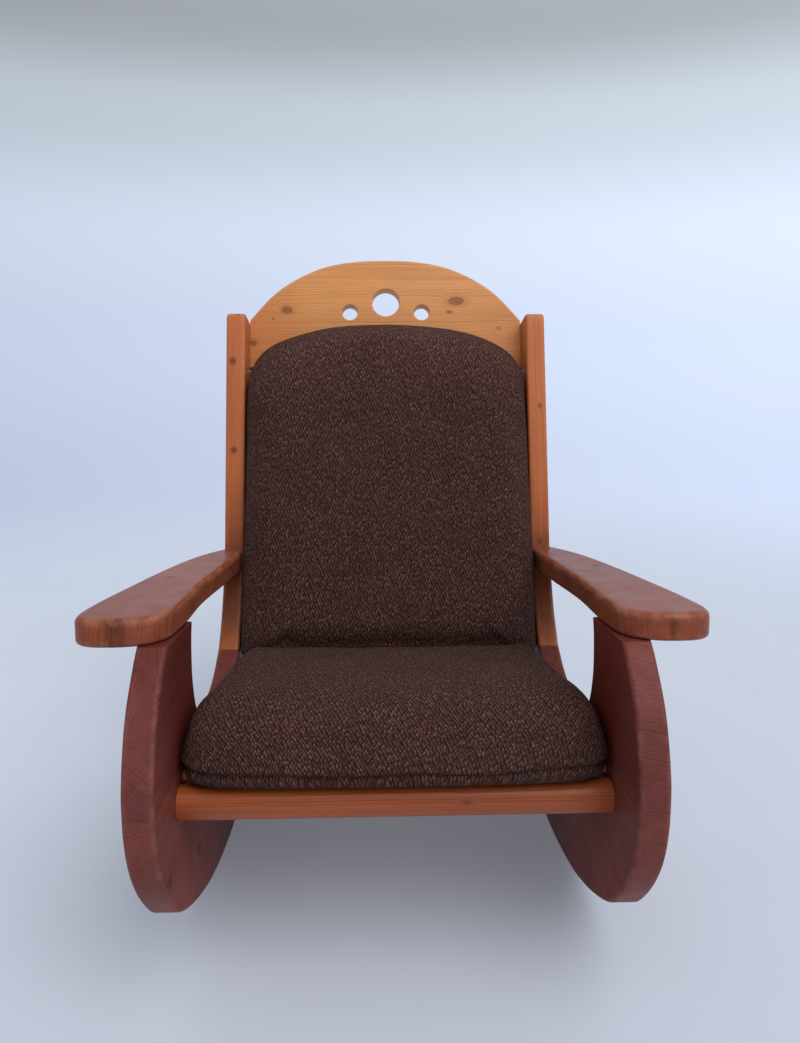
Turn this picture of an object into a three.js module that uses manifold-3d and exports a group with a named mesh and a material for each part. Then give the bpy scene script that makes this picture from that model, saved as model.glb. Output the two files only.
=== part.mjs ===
// Pine rocking chair with solid side panels, paddle armrests, a pierced crest
// rail, a slatted seat and back, and two loose upholstered cushions.
// Millimetres. +Z up, the sitter faces -Y, +X is the right-hand side as seen
// from the front. The origin is at the bottom centre of the chair's box.
import * as THREE from 'three';
import { mergeVertices } from 'three/addons/utils/BufferGeometryUtils.js';
import Module from 'manifold-3d';

const wasm = await Module();
wasm.setup();

// ---------------------------------------------------------------- dimensions
const GAP = 0.3;                 // clearance kept between touching pieces
const PANEL_T = 38;              // thickness of the side boards and posts
const X_OUT = 320;               // outer face of the side panels
const X_IN = X_OUT - PANEL_T;    // inner face of the side panels
const ROCKER_R = 940;            // radius of the rocker's rolling edge
const ROCKER_Y = 516;            // distance of the rest contact behind the front
const ROCKER_STEP = 4.5;         // degrees per facet of the rolling edge
const SEAM_Z = 310;              // height of the glue seam at the front
const SEAM_SLOPE = -0.0415;      // fall of the seam towards the back
const ARM_SLOPE = -0.12;         // fall of the armrest towards the back
const ARM_Y0 = 106, ARM_Z0 = 482;   // point on the armrest's underside
const ARM_T = 36;                // armrest thickness
const RECLINE = 17.5;            // lean of the back posts, degrees
const BACK_Y0 = 687, BACK_Z0 = 448; // point on the posts' front faces
const POST_DEPTH = 95;           // depth of the post, front to rear
const BACK_SET = 60;             // crest and back slats lie this far behind the posts' fronts
const CREST_T = 25;              // crest rail thickness
const CREST_LOW = 380, CREST_END = 482, CREST_TOP = 610;   // heights up the back
const HOLE_R = 28.5, HOLE_S = 519;                         // centre hole
const SMALL_R = 16, SMALL_X = 75, SMALL_S = 498;           // outer holes
const SLAT_T = 11, SLAT_W = 62;  // seat and back slats
const SEAT_SLOPE = -0.158;       // fall of the seat towards the back
const SEAT_Y0 = 136, SEAT_Z0 = 293; // front upper edge of the first seat slat
const SEAT_SLATS = 6, SEAT_PITCH = 82;
const BACK_SLATS = 6, BACK_PITCH = 98, BACK_FIRST = -165;
const RAIL_D = 44, RAIL_Y = 113, RAIL_Z = 264;  // front rail
const CUSHION_X = 277;           // half width of both cushions
const DOWEL_R = 6;               // hidden dowels
const SCREW_R = 3.5, HEAD_R = 7, PLUG_R = 8;    // rail screws and their plugs

// ------------------------------------------------------------------ materials
const wood = (c, r = 0.45) => new THREE.MeshStandardMaterial({ color: c, roughness: r, metalness: 0 });
const M = {
  panel: wood(0x6e2b1c), upright: wood(0x6b2a20), post: wood(0xa8552a), arm: wood(0x7c3b28),
  crest: wood(0xb06a2e), rail: wood(0xa9521f), slat: wood(0xb5713c, 0.6), cleat: wood(0x9a5a30, 0.6),
  dowel: wood(0xc9a06a, 0.7),
  steel: new THREE.MeshStandardMaterial({ color: 0x8d8f92, roughness: 0.35, metalness: 0.9 }),
  cloth: new THREE.MeshStandardMaterial({ color: 0x3a2820, roughness: 1, metalness: 0 }),
};

// -------------------------------------------------------------------- helpers
const rad = Math.PI / 180;
const V = (a) => a.map(([x, y]) => new THREE.Vector2(x, y));

function toSolid(geometry) {
  const g = geometry.clone();
  g.deleteAttribute('normal'); g.deleteAttribute('uv');
  const m = mergeVertices(g, 1e-4);
  return new wasm.Manifold(new wasm.Mesh({
    numProp: 3,
    vertProperties: new Float32Array(m.attributes.position.array),
    triVerts: new Uint32Array(m.index.array),
  }));
}
function toGeometry(solid) {
  const mesh = solid.getMesh();
  const g = new THREE.BufferGeometry();
  g.setAttribute('position', new THREE.BufferAttribute(new Float32Array(mesh.vertProperties), 3));
  g.setIndex(new THREE.BufferAttribute(new Uint32Array(mesh.triVerts), 1));
  g.computeVertexNormals();
  return g;
}
function extrude(points, depth) {
  return new THREE.ExtrudeGeometry(new THREE.Shape(V(points)), { depth, bevelEnabled: false, steps: 1 });
}
// A board whose outline is drawn in the (Y, Z) plane, between x0 and x1.
function boardYZ(points, x0, x1) {
  const g = extrude(points, x1 - x0);
  g.applyMatrix4(new THREE.Matrix4().makeBasis(
    new THREE.Vector3(0, 1, 0), new THREE.Vector3(0, 0, 1), new THREE.Vector3(1, 0, 0)));
  g.translate(x0, 0, 0);
  return g;
}
// A board whose outline is drawn in local (X, Y), thickness along local +Z.
function boardXY(points, t) { return extrude(points, t); }
// Round bar between two points.
function bar(a, b, r, sides = 12, r2 = r) {
  const A = new THREE.Vector3(...a), B = new THREE.Vector3(...b);
  const d = B.clone().sub(A);
  const g = new THREE.CylinderGeometry(r2, r, d.length(), sides);
  g.applyQuaternion(new THREE.Quaternion().setFromUnitVectors(new THREE.Vector3(0, 1, 0), d.clone().normalize()));
  g.translate((A.x + B.x) / 2, (A.y + B.y) / 2, (A.z + B.z) / 2);
  return g;
}
function cut(geometry, ...tools) {
  let s = toSolid(geometry);
  for (const t of tools) s = s.subtract(toSolid(t));
  return toGeometry(s);
}
function named(name, geometry, material) {
  const m = new THREE.Mesh(geometry, material);
  m.name = name;
  return m;
}
// Reverse a polygon when it is mirrored so that it stays counter-clockwise.
const mirrorX = (pts) => pts.map(([x, y]) => [-x, y]).reverse();
const seamZ = (y) => SEAM_Z + SEAM_SLOPE * y;
const armZ = (y) => ARM_Z0 + ARM_SLOPE * (y - ARM_Y0);
const tanR = Math.tan(RECLINE * rad), cosR = Math.cos(RECLINE * rad), sinR = Math.sin(RECLINE * rad);
// Point on the plane parallel to the posts' fronts, "set" behind it, "s" up it.
const backPoint = (s, set = 0) => [BACK_Y0 + s * sinR + set * cosR, BACK_Z0 + s * cosR - set * sinR];

// ------------------------------------------------------------- side profiles
// Rolling edge: facets of an arc, with one level facet at the rest contact.
const flat = ROCKER_R * (1 - Math.cos(ROCKER_STEP / 2 * rad));
const arc = (deg) => [ROCKER_Y + ROCKER_R * Math.sin(deg * rad), ROCKER_R * (1 - Math.cos(deg * rad)) - flat];
const rolling = [];
for (let a = -15.75; a <= 24.8; a += ROCKER_STEP) rolling.push(arc(a));
rolling.push(arc(27.6));

// Front edge of the panel from the rolling edge up to the glue seam.
const frontLow = [[1.2, 309.95], [0, 293], [1, 275], [3, 259], [6.5, 244], [11.5, 228], [19, 211], [30, 190.5],
  [44, 169], [60, 148], [78, 127.5], [100, 110], [126, 94], [155, 78.5], [190, 62]];
// Front edge above the seam, up to the armrest.
const frontHigh = [[1.2, 309.95], [2.5, 326], [5, 340], [10, 356], [17, 374], [25, 392], [34, 409], [44, 424], [55, 437],
  [66, 448.5], [79, 461], [92, 473]];
// Cut-out under the armrest.
const cutLow = [[262, 0], [277, 283], [297, 268], [322, 257], [352, 250], [385, 246.5], [420, 245.5], [455, 247],
  [490, 251.5], [515, 257.5], [540, 266.5], [560, 277]];
cutLow[0][1] = seamZ(262);
const uprightRear = [[249, 317], [239, 335], [231, 354], [226.5, 375], [225, 396], [228, 421], [233, 445], [241, 0]];
uprightRear[7][1] = armZ(241);
// Tail behind the post.
const POST_FOOT_F = 578, POST_FOOT_R = 733.5;
const tail = [[742, 262], [756, 240], [780, 214], [812, 191], [852, 172], [895, 159.5], [935, 152], [962, 147.5],
  [977, 141], [984, 131], [981, 120.5], [968, 113.5]];
// Front edge of the post, from its foot to where it runs straight.
const postLow = [[597, 306], [614, 324.5], [630, 345], [644, 367], [658, 391.5], [671, 416]];

const rockerOutline = [
  ...frontLow, ...rolling, ...tail.slice().reverse(),
  [POST_FOOT_R, seamZ(POST_FOOT_R)], [POST_FOOT_F, seamZ(POST_FOOT_F)], ...cutLow.slice().reverse(),
];
const uprightOutline = [
  ...frontHigh.slice().reverse(), [frontHigh[0][0] + 0.05, seamZ(0) + GAP], [262, seamZ(262) + GAP], ...uprightRear.slice(0, -1),
  [241, armZ(241) - GAP], [104, armZ(104) - GAP],
].filter((p) => p[1] >= seamZ(p[0]) + GAP - 0.001);
const postTopF = backPoint(477), postTopR = backPoint(477, POST_DEPTH);
const postOutline = [
  [POST_FOOT_F + 0.3, seamZ(POST_FOOT_F) + GAP], [POST_FOOT_R, seamZ(POST_FOOT_R) + GAP],
  backPoint(-80, POST_DEPTH), backPoint(466, POST_DEPTH), backPoint(477, POST_DEPTH - 11),
  backPoint(477, 11), backPoint(466, 0), backPoint(0, 0), ...postLow.slice().reverse(),
];

// --------------------------------------------------------------- fixing axes
const railScrews = [            // [y, z, depth into the rail]
  ['front_rail', RAIL_Y, RAIL_Z], ['rear_rail', 652, 176],
  ['crest_upper', ...backPoint(457, BACK_SET + CREST_T / 2)], ['crest_lower', ...backPoint(430, BACK_SET + CREST_T / 2)],
];
const X_MID = (X_IN + X_OUT) / 2;
const footDowels = [['upright_dowel_front', 80], ['upright_dowel_rear', 190], ['post_dowel_front', 622], ['post_dowel_rear', 695]];
const seamN = new THREE.Vector2(-SEAM_SLOPE, 1).normalize();
const armN = new THREE.Vector2(-ARM_SLOPE, 1).normalize();
const armU = new THREE.Vector2(1, ARM_SLOPE).normalize();
const along = (x, y, z, n, a, b) => [[x, y + n.x * a, z + n.y * a], [x, y + n.x * b, z + n.y * b]];

// Armrest outline in plan: x outwards, y towards the back.
const armPlan = [
  [283.6, 722], [283.6, 655], [283.8, 600], [284.8, 540], [286.5, 480], [289, 425], [290.5, 370], [290, 320],
  [287.5, 270], [285.5, 222], [286, 178], [289, 143], [299, 120], [317, 106.5], [336, 101], [355, 100], [374, 102],
  [389, 109], [399, 121.5], [403.5, 141], [404.5, 168], [403.5, 205], [401, 250], [397, 300], [392.5, 355], [388, 410],
  [383, 460], [377, 512], [370, 560], [361, 605], [350, 645], [339, 676], [328, 702], [320.6, 717],
];

const chair = new THREE.Group();
chair.name = 'rocking_chair';

for (const [side, sgn] of [['left', -1], ['right', 1]]) {
  const panel = new THREE.Group();
  const x0 = sgn < 0 ? -X_OUT : X_IN, x1 = sgn < 0 ? -X_IN : X_OUT;
  // holes for the rail screws and their plugs, drilled from the outer face
  const screwHoles = railScrews.map(([, y, z]) => [
    bar([sgn * (X_IN - 1), y, z], [sgn * (X_OUT - 17), y, z], SCREW_R + GAP + 0.2),
    bar([sgn * (X_OUT - 18), y, z], [sgn * (X_OUT + 1), y, z], PLUG_R + GAP, 16),
  ]);
  // blind holes for the dowels across the glue seam
  const dowelAt = ([, y], a, b, r) => bar(...along(sgn * X_MID, y, seamZ(y), seamN, a, b), r);
  const holeDown = footDowels.map((d) => dowelAt(d, -26, 5, DOWEL_R + GAP));
  const holeUp = footDowels.map((d) => dowelAt(d, -5, 26, DOWEL_R + GAP));
  const armDowel = (a, b, r) => bar(...along(sgn * 305, 170, armZ(170), armN, a, b), r);
  const endDowelAt = backPoint(-30), endDowel = (a, b, r) => bar(...along(sgn * 301, endDowelAt[0], endDowelAt[1] + 16, armU, a, b), r);

  panel.add(named(`${side}_rocker_board`,
    cut(boardYZ(rockerOutline, x0, x1), ...screwHoles[0], ...screwHoles[1], ...holeDown), M.panel));
  panel.add(named(`${side}_front_upright`,
    cut(boardYZ(uprightOutline, x0, x1), holeUp[0], holeUp[1], armDowel(-26, 5, DOWEL_R + GAP)), M.upright));
  panel.add(named(`${side}_back_post`,
    cut(boardYZ(postOutline, x0, x1), ...screwHoles[2], ...screwHoles[3], holeUp[2], holeUp[3],
      endDowel(-30, 28, DOWEL_R + GAP)), M.post));

  // Armrest: a shaped board notched round the post.
  const plan = (sgn > 0 ? armPlan : mirrorX(armPlan)).map(([x, y]) => [x, (y - ARM_Y0) * Math.sqrt(1 + ARM_SLOPE ** 2)]);
  const arm = boardXY(plan, ARM_T);
  arm.applyMatrix4(new THREE.Matrix4().makeRotationX(Math.atan(ARM_SLOPE)).setPosition(0, ARM_Y0, ARM_Z0));
  const grow = [[postLow[3][0] - 0.4, postLow[3][1]], [postLow[4][0] - 0.4, postLow[4][1]], [postLow[5][0] - 0.4, postLow[5][1]], backPoint(0, -0.4),
    backPoint(150, -0.4), backPoint(150, POST_DEPTH + GAP), backPoint(-90, POST_DEPTH + GAP)];
  const postSpace = boardYZ(grow, x0 - GAP, x1 + GAP);
  panel.add(named(`${side}_armrest`,
    cut(arm, postSpace, armDowel(-5, 22, DOWEL_R + GAP), endDowel(-30, 28, DOWEL_R + GAP)), M.arm));

  for (const d of footDowels) panel.add(named(`${side}_${d[0]}`, dowelAt(d, -25, 25, DOWEL_R), M.dowel));
  panel.add(named(`${side}_armrest_dowel_front`, armDowel(-25, 21, DOWEL_R), M.dowel));
  panel.add(named(`${side}_armrest_dowel_rear`, endDowel(-29, 27, DOWEL_R), M.dowel));

  for (const [name, y, z] of railScrews) {
    const shank = bar([sgn * (X_OUT - 14), y, z], [sgn * (X_IN - 45), y, z], SCREW_R, 10);
    const head = bar([sgn * (X_OUT - 17), y, z], [sgn * (X_OUT - 11), y, z], HEAD_R, 14);
    const screw = toGeometry(toSolid(shank).add(toSolid(head)));
    panel.add(named(`${side}_${name}_screw`, screw, M.steel));
    panel.add(named(`${side}_${name}_plug`, bar([sgn * (X_OUT - 10), y, z], [sgn * (X_OUT - 0.2), y, z], PLUG_R, 16), M.dowel));
  }
  chair.add(panel);
}

// ------------------------------------------------------------- cross members
const inner = X_IN - GAP;
const pilot = (y, z, s) => bar([s * (X_IN - 47), y, z], [s * (X_IN + 2), y, z], SCREW_R + GAP, 10);

// Front rail: a rounded bar, fuller at the front than at the back.
{
  const pts = [];
  for (let i = 0; i < 20; i++) {
    const a = (i / 20) * 2 * Math.PI, c = Math.cos(a), s = Math.sin(a);
    const k = c > 0 ? 0.82 : 1;
    pts.push([RAIL_Y + k * RAIL_D / 2 * Math.sign(c) * Math.abs(c) ** (c > 0 ? 0.7 : 0.95), RAIL_Z + RAIL_D / 2 * Math.sign(s) * Math.abs(s) ** 0.92]);
  }
  chair.add(named('front_rail', cut(boardYZ(pts, -inner, inner), pilot(RAIL_Y, RAIL_Z, -1), pilot(RAIL_Y, RAIL_Z, 1)), M.rail));
}
chair.add(named('rear_rail',
  cut(boardYZ([[638, 146], [666, 146], [666, 202], [638, 202]], -inner, inner), pilot(652, 176, -1), pilot(652, 176, 1)), M.rail));

// Crest rail: an arched board pierced by three holes.
const archHalf = [[0, 0], [27, 0.4], [53, 1.7], [95, 7], [137, 18], [178, 36.5], [205, 52.5], [224, 66.5], [243, 84], [261, 104]]
    .map(([x, d]) => [x, CREST_TOP - d]).concat([[inner, CREST_END]]);
{
  const right = archHalf.slice().reverse(), left = archHalf.slice(1).map(([x, s]) => [-x, s]);
  const pts = [[-inner, CREST_LOW], [inner, CREST_LOW], ...right, ...left];
  const board = boardXY(pts, CREST_T);
  const disc = (x, s, r, n) => bar([x, s, -5], [x, s, CREST_T + 5], r, n);
  let g = cut(board, disc(0, HOLE_S, HOLE_R, 32), disc(-SMALL_X, SMALL_S, SMALL_R, 24), disc(SMALL_X, SMALL_S, SMALL_R, 24));
  // board is drawn with x across and y up the back; its local -Z is the back's rear
  g.applyMatrix4(new THREE.Matrix4().makeBasis(
    new THREE.Vector3(1, 0, 0), new THREE.Vector3(0, sinR, cosR), new THREE.Vector3(0, -cosR, sinR)));
  const [y, z] = backPoint(0, BACK_SET + CREST_T);
  g.translate(0, y, z);
  const holes = [];
  for (const [, sy, sz] of railScrews.slice(2)) holes.push(pilot(sy, sz, -1), pilot(sy, sz, 1));
  chair.add(named('crest_rail', cut(g, ...holes), M.crest));
}

// ----------------------------------------------------------- seat platform
const seatAngle = Math.atan(SEAT_SLOPE);
const seat = new THREE.Group();
seat.position.set(0, SEAT_Y0, SEAT_Z0);
seat.rotation.x = seatAngle;
for (let i = 0; i < SEAT_SLATS; i++) {
  const slat = named(`seat_slat_${i + 1}`, new THREE.BoxGeometry(2 * inner, SLAT_W, SLAT_T), M.slat);
  slat.position.set(0, i * SEAT_PITCH + SLAT_W / 2, -SLAT_T / 2);
  seat.add(slat);
}
const seatRun = (SEAT_SLATS - 1) * SEAT_PITCH + SLAT_W;
for (const [side, sgn] of [['left', -1], ['right', 1]]) {
  const bearer = named(`${side}_seat_bearer`, new THREE.BoxGeometry(24, seatRun - 12, 32), M.cleat);
  bearer.position.set(sgn * (inner - 12), seatRun / 2 + 4, -SLAT_T - GAP - 16);
  seat.add(bearer);
}
chair.add(seat);

// ----------------------------------------------------------- back platform
const back = new THREE.Group();
back.position.set(0, ...backPoint(0, BACK_SET));
back.rotation.x = -RECLINE * rad;      // local +Z runs up the back, local +Y to the rear
for (let i = 0; i < BACK_SLATS; i++) {
  const slat = named(`back_slat_${i + 1}`, new THREE.BoxGeometry(2 * inner, SLAT_T, SLAT_W), M.slat);
  slat.position.set(0, SLAT_T / 2, BACK_FIRST + i * BACK_PITCH);
  back.add(slat);
}
for (const [side, sgn] of [['left', -1], ['right', 1]]) {
  const top = CREST_LOW - 4, low = BACK_FIRST - SLAT_W / 2;
  const cleat = named(`${side}_back_cleat`, new THREE.BoxGeometry(24, 22, top - low), M.cleat);
  cleat.position.set(sgn * (inner - 12), SLAT_T + GAP + 11, (top + low) / 2);
  back.add(cleat);
}
chair.add(back);

// ---------------------------------------------------------------- cushions
// Seat cushion: a crowned wedge resting on the slats.
const seatTop = (y) => SEAT_Z0 + 1.5 + SEAT_SLOPE * (y - SEAT_Y0);
const seatProfile = [
  [90, seatTop(90)], [400, seatTop(400)], [622, seatTop(622)], [631, seatTop(631) + 9], [634, 240], [630, 256], [617, 268], [595, 275],
  [545, 283], [453, 315], [368, 337], [293, 354], [213, 370], [160, 378], [125, 379], [102, 372], [84, 357], [75, 337], [77, 318],
];
{
  const body = toSolid(boardYZ(seatProfile, -CUSHION_X, CUSHION_X));
  const c = CUSHION_X;
  const plan = extrude([[-c + 30, 74], [-c + 10, 84], [-c + 1, 104], [-c, 140], [-c, 560], [-c + 6, 615], [-c + 24, 640],
    [c - 24, 640], [c - 6, 615], [c, 560], [c, 140], [c - 1, 104], [c - 10, 84], [c - 30, 74]].reverse(), 400);
  plan.translate(0, 0, 100);
  // crown the upper side edges
  const side = extrude([[-c, 100], [c, 100], [c, 0], [c - 9, 0], [c - 40, 0], [-c + 40, 0], [-c + 9, 0], [-c, 0]], 10);
  chair.add(named('seat_cushion', toGeometry(body.intersect(toSolid(plan))), M.cloth));
}
// Back cushion: stands on the seat cushion and leans on the slats and crest.
const backProfile = [
  [560, 287.5], [640, 283], [652, 296], [744, 500], [819, 686], [870, 847], [865, 865], [849, 875], [829, 875], [811, 865], [796, 842], [726, 690],
  [640, 502], [552, 305],
];
{
  const body = toSolid(boardYZ(backProfile, -CUSHION_X, CUSHION_X));
  const c = CUSHION_X;
  const face = [[-c + 14, 240], [c - 14, 240], [c, 270], [c, 768], [c - 4, 794], [c - 14, 814], [c - 32, 832], [c - 66, 850], [c - 106, 863],
    [c - 150, 871], [80, 877], [-80, 877], [-c + 150, 871], [-c + 106, 863], [-c + 66, 850], [-c + 32, 832], [-c + 14, 814], [-c + 4, 794], [-c, 768], [-c, 270]];
  const front = extrude(face, 700);
  front.applyMatrix4(new THREE.Matrix4().makeBasis(
    new THREE.Vector3(1, 0, 0), new THREE.Vector3(0, 0, 1), new THREE.Vector3(0, -1, 0)));
  front.translate(0, 1000, 0);
  chair.add(named('back_cushion', toGeometry(body.intersect(toSolid(front))), M.cloth));
}

// Bottom centre of the box at the origin.
chair.updateMatrixWorld(true);
const box = new THREE.Box3().setFromObject(chair, true);
chair.position.y = -(box.min.y + box.max.y) / 2;
chair.position.z = -box.min.z;
chair.updateMatrixWorld(true);

export default chair;
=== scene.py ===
import math

import bmesh
import bpy
import numpy as np
from mathutils import Matrix, Vector
from mathutils.bvhtree import BVHTree
from mathutils.geometry import tessellate_polygon


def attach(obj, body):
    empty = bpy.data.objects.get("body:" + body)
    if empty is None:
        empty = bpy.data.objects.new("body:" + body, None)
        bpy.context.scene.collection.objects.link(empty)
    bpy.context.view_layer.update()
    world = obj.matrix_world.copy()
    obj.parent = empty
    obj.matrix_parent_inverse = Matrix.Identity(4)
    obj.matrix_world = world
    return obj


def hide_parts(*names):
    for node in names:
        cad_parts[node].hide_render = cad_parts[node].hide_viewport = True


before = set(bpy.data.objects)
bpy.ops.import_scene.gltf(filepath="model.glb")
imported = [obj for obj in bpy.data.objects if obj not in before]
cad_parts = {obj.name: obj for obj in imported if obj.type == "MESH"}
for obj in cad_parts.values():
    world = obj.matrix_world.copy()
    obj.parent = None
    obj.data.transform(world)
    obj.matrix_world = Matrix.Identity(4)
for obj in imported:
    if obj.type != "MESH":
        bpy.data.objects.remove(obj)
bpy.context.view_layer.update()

SCENE = bpy.context.scene

# ------------------------------------------------------------------ dimensions
# The same numbers as the CAD source, in millimetres, with y from the front.
Y_SHIFT = 492.0
GAP = 0.3
X_OUT, X_IN = 320.0, 282.0
ROCKER_R, ROCKER_Y = 940.0, 516.0
SEAM_Z, SEAM_SLOPE = 310.0, -0.0415
ARM_SLOPE, ARM_Y0, ARM_Z0, ARM_T = -0.12, 106.0, 482.0, 36.0
RECLINE = math.radians(17.5)
BACK_Y0, BACK_Z0, POST_DEPTH, BACK_SET = 687.0, 448.0, 95.0, 60.0
CREST_T, CREST_LOW, CREST_END, CREST_TOP = 25.0, 380.0, 482.0, 610.0
HOLE_R, HOLE_S, SMALL_R, SMALL_X, SMALL_S = 28.5, 519.0, 16.0, 75.0, 498.0
SLAT_T, SLAT_W = 11.0, 62.0
SEAT_SLOPE, SEAT_Y0, SEAT_Z0, SEAT_PITCH = -0.158, 136.0, 293.0, 82.0
BACK_PITCH, BACK_FIRST = 98.0, -165.0
RAIL_D, RAIL_Y, RAIL_Z = 44.0, 113.0, 264.0
INNER = X_IN - GAP
POST_FOOT_F, POST_FOOT_R = 578.0, 733.5

sinR, cosR = math.sin(RECLINE), math.cos(RECLINE)


def seam_z(y):
    return SEAM_Z + SEAM_SLOPE * y


def arm_z(y):
    return ARM_Z0 + ARM_SLOPE * (y - ARM_Y0)


def back_point(s, depth=0.0):
    return (BACK_Y0 + s * sinR + depth * cosR, BACK_Z0 + s * cosR - depth * sinR)


def metres(x, y, z):
    return Vector((x / 1000.0, (y - Y_SHIFT) / 1000.0, z / 1000.0))


# ---------------------------------------------------------------- mesh helpers
def curve(points, n=4, before=None, after=None):
    """A smooth line through the points (centripetal Catmull-Rom), both ends kept."""
    p = [np.array(q, float) for q in points]
    first = np.array(before, float) if before is not None else 2 * p[0] - p[1]
    last = np.array(after, float) if after is not None else 2 * p[-1] - p[-2]
    p = [first] + p + [last]
    out = []
    for i in range(1, len(p) - 2):
        p0, p1, p2, p3 = p[i - 1], p[i], p[i + 1], p[i + 2]
        t0 = 0.0
        t1 = t0 + max(1e-6, np.linalg.norm(p1 - p0)) ** 0.5
        t2 = t1 + max(1e-6, np.linalg.norm(p2 - p1)) ** 0.5
        t3 = t2 + max(1e-6, np.linalg.norm(p3 - p2)) ** 0.5
        for k in range(n):
            t = t1 + (t2 - t1) * k / n
            a1 = (t1 - t) / (t1 - t0) * p0 + (t - t0) / (t1 - t0) * p1
            a2 = (t2 - t) / (t2 - t1) * p1 + (t - t1) / (t2 - t1) * p2
            a3 = (t3 - t) / (t3 - t2) * p2 + (t - t2) / (t3 - t2) * p3
            b1 = (t2 - t) / (t2 - t0) * a1 + (t - t0) / (t2 - t0) * a2
            b2 = (t3 - t) / (t3 - t1) * a2 + (t - t1) / (t3 - t1) * a3
            out.append(tuple((t2 - t) / (t2 - t1) * b1 + (t - t1) / (t2 - t1) * b2))
    out.append(tuple(p[-2]))
    return out


def line(a, b, step=25.0):
    """Points from a towards b, b left out, so that long edges aren't one span."""
    n = max(1, int(math.dist(a, b) // step))
    return [(a[0] + (b[0] - a[0]) * k / n, a[1] + (b[1] - a[1]) * k / n) for k in range(n)]


def outline_of(*spans):
    """Joins (points, rounded) spans, each ending where the next begins, into points and edge flags."""
    pts, flags = [], []
    for points, rounded in spans:
        for q in points[:-1]:
            pts.append((float(q[0]), float(q[1])))
            flags.append(float(rounded))
    return pts, flags


def inset_outline(pts, flags, d):
    """The outline moved inwards by d on its rounded edges, and left alone on its glued ones."""
    if d == 0:
        return list(pts)
    n = len(pts)
    out = []
    for i in range(n):
        a, p, b = np.array(pts[i - 1]), np.array(pts[i]), np.array(pts[(i + 1) % n])
        e1, e2 = p - a, b - p
        e1, e2 = e1 / max(1e-9, np.linalg.norm(e1)), e2 / max(1e-9, np.linalg.norm(e2))
        n1, n2 = np.array((-e1[1], e1[0])), np.array((-e2[1], e2[0]))
        d1, d2 = d * flags[i - 1], d * flags[i]
        det = n1[0] * n2[1] - n1[1] * n2[0]
        if abs(det) < 0.02:
            m = (n1 + n2) / 2
            move = m * (d1 + d2) / 2
        else:
            move = np.array(((d1 * n2[1] - d2 * n1[1]) / det, (n1[0] * d2 - n2[0] * d1) / det))
            size = np.linalg.norm(move)
            if size > 3.2 * d:
                move *= 3.2 * d / size
        out.append(tuple(p + move))
    return out


def half_rings(r, at, sign, extra):
    """(inset, w, wear) from a cap inwards to the side wall, for a quarter-round arris."""
    rings = [(r + extra, at, 0.0), (r, at, 0.45)]
    seg = 5 if r > 3 else 3
    for k in range(1, seg + 1):
        a = k / seg * math.pi / 2
        rings.append((r - r * math.sin(a), at + sign * (r - r * math.cos(a)), 0.45 + 0.55 * math.sin(2 * a)))
    rings.append((0.0, at + sign * (r + extra), 0.0))
    return rings


def finish_mesh(bm, name, sharp=35.0):
    bmesh.ops.recalc_face_normals(bm, faces=bm.faces)
    me = bpy.data.meshes.new(name)
    bm.to_mesh(me)
    bm.free()
    me.polygons.foreach_set("use_smooth", [True] * len(me.polygons))
    me.set_sharp_from_angle(angle=math.radians(sharp))
    me.update()
    ob = bpy.data.objects.new(name, me)
    SCENE.collection.objects.link(ob)
    return ob


def prism(name, pts, flags, w0, w1, r0, r1, place, holes=(), point_wear_and_highlight=None, extra=3.0, hook=None):
    """A board: outline pts (counter-clockwise), from w0 to w1, with rounded arrises r0 and r1.
    place(u, v, w) gives the point in millimetres. holes are (u, v, steps, sides), steps [(radius, w, wear)]
    running from the w0 face to the w1 face. hook(i, u, v, w) may move an outline point."""
    rings = half_rings(r0, w0, 1, extra) if r0 > 0 else [(0.0, w0, 0.0)]
    rings += list(reversed(half_rings(r1, w1, -1, extra))) if r1 > 0 else [(0.0, w1, 0.0)]
    bm = bmesh.new()
    wear_and_highlight_layer = bm.verts.layers.float.new("arris")
    loops = []
    for d, w, wear_and_highlight in rings:
        ring = []
        for i, (u, v) in enumerate(inset_outline(pts, flags, d)):
            if hook is not None:
                u, v = hook(i, u, v, w)
            vert = bm.verts.new(metres(*place(u, v, w)))
            edge = max(flags[i], flags[i - 1])
            vert[wear_and_highlight_layer] = max(wear_and_highlight * edge, point_wear_and_highlight[i] if point_wear_and_highlight else 0.0)
            ring.append(vert)
        loops.append((ring, w))
    n = len(pts)
    for (ra, _), (rb, _) in zip(loops, loops[1:]):
        for i in range(n):
            j = (i + 1) % n
            quad = [ra[i], ra[j], rb[j], rb[i]]
            if len({v.index if v.index >= 0 else id(v) for v in quad}) == 4:
                bm.faces.new(quad)
    # the holes' walls
    hole_loops = []
    for cu, cv, steps, sides in holes:
        own = []
        for r, w, wear_and_highlight in steps:
            ring = []
            for k in range(sides):
                a = 2 * math.pi * k / sides
                vert = bm.verts.new(metres(*place(cu + r * math.cos(a), cv + r * math.sin(a), w)))
                vert[wear_and_highlight_layer] = wear_and_highlight
                ring.append(vert)
            own.append(ring)
        for ra, rb in zip(own, own[1:]):
            for k in range(sides):
                j = (k + 1) % sides
                bm.faces.new([ra[k], ra[j], rb[j], rb[k]])
        hole_loops.append((own[0], own[-1], cu, cv, steps))
    # the two caps
    for which, (ring, w) in ((0, loops[0]), (1, loops[-1])):
        d = rings[0][0] if which == 0 else rings[-1][0]
        flat = inset_outline(pts, flags, d)
        loops2d = [[Vector((u, v, 0)) for u, v in flat]]
        verts = list(ring)
        for first, last, cu, cv, steps in hole_loops:
            own = first if which == 0 else last
            r = steps[0][0] if which == 0 else steps[-1][0]
            sides = len(own)
            loops2d.append([Vector((cu + r * math.cos(2 * math.pi * k / sides), cv + r * math.sin(2 * math.pi * k / sides), 0)) for k in range(sides)])
            verts += own
        for tri in tessellate_polygon(loops2d):
            try:
                bm.faces.new([verts[k] for k in tri])
            except ValueError:
                pass
    bmesh.ops.remove_doubles(bm, verts=bm.verts, dist=1e-6)
    return finish_mesh(bm, name)


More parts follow.
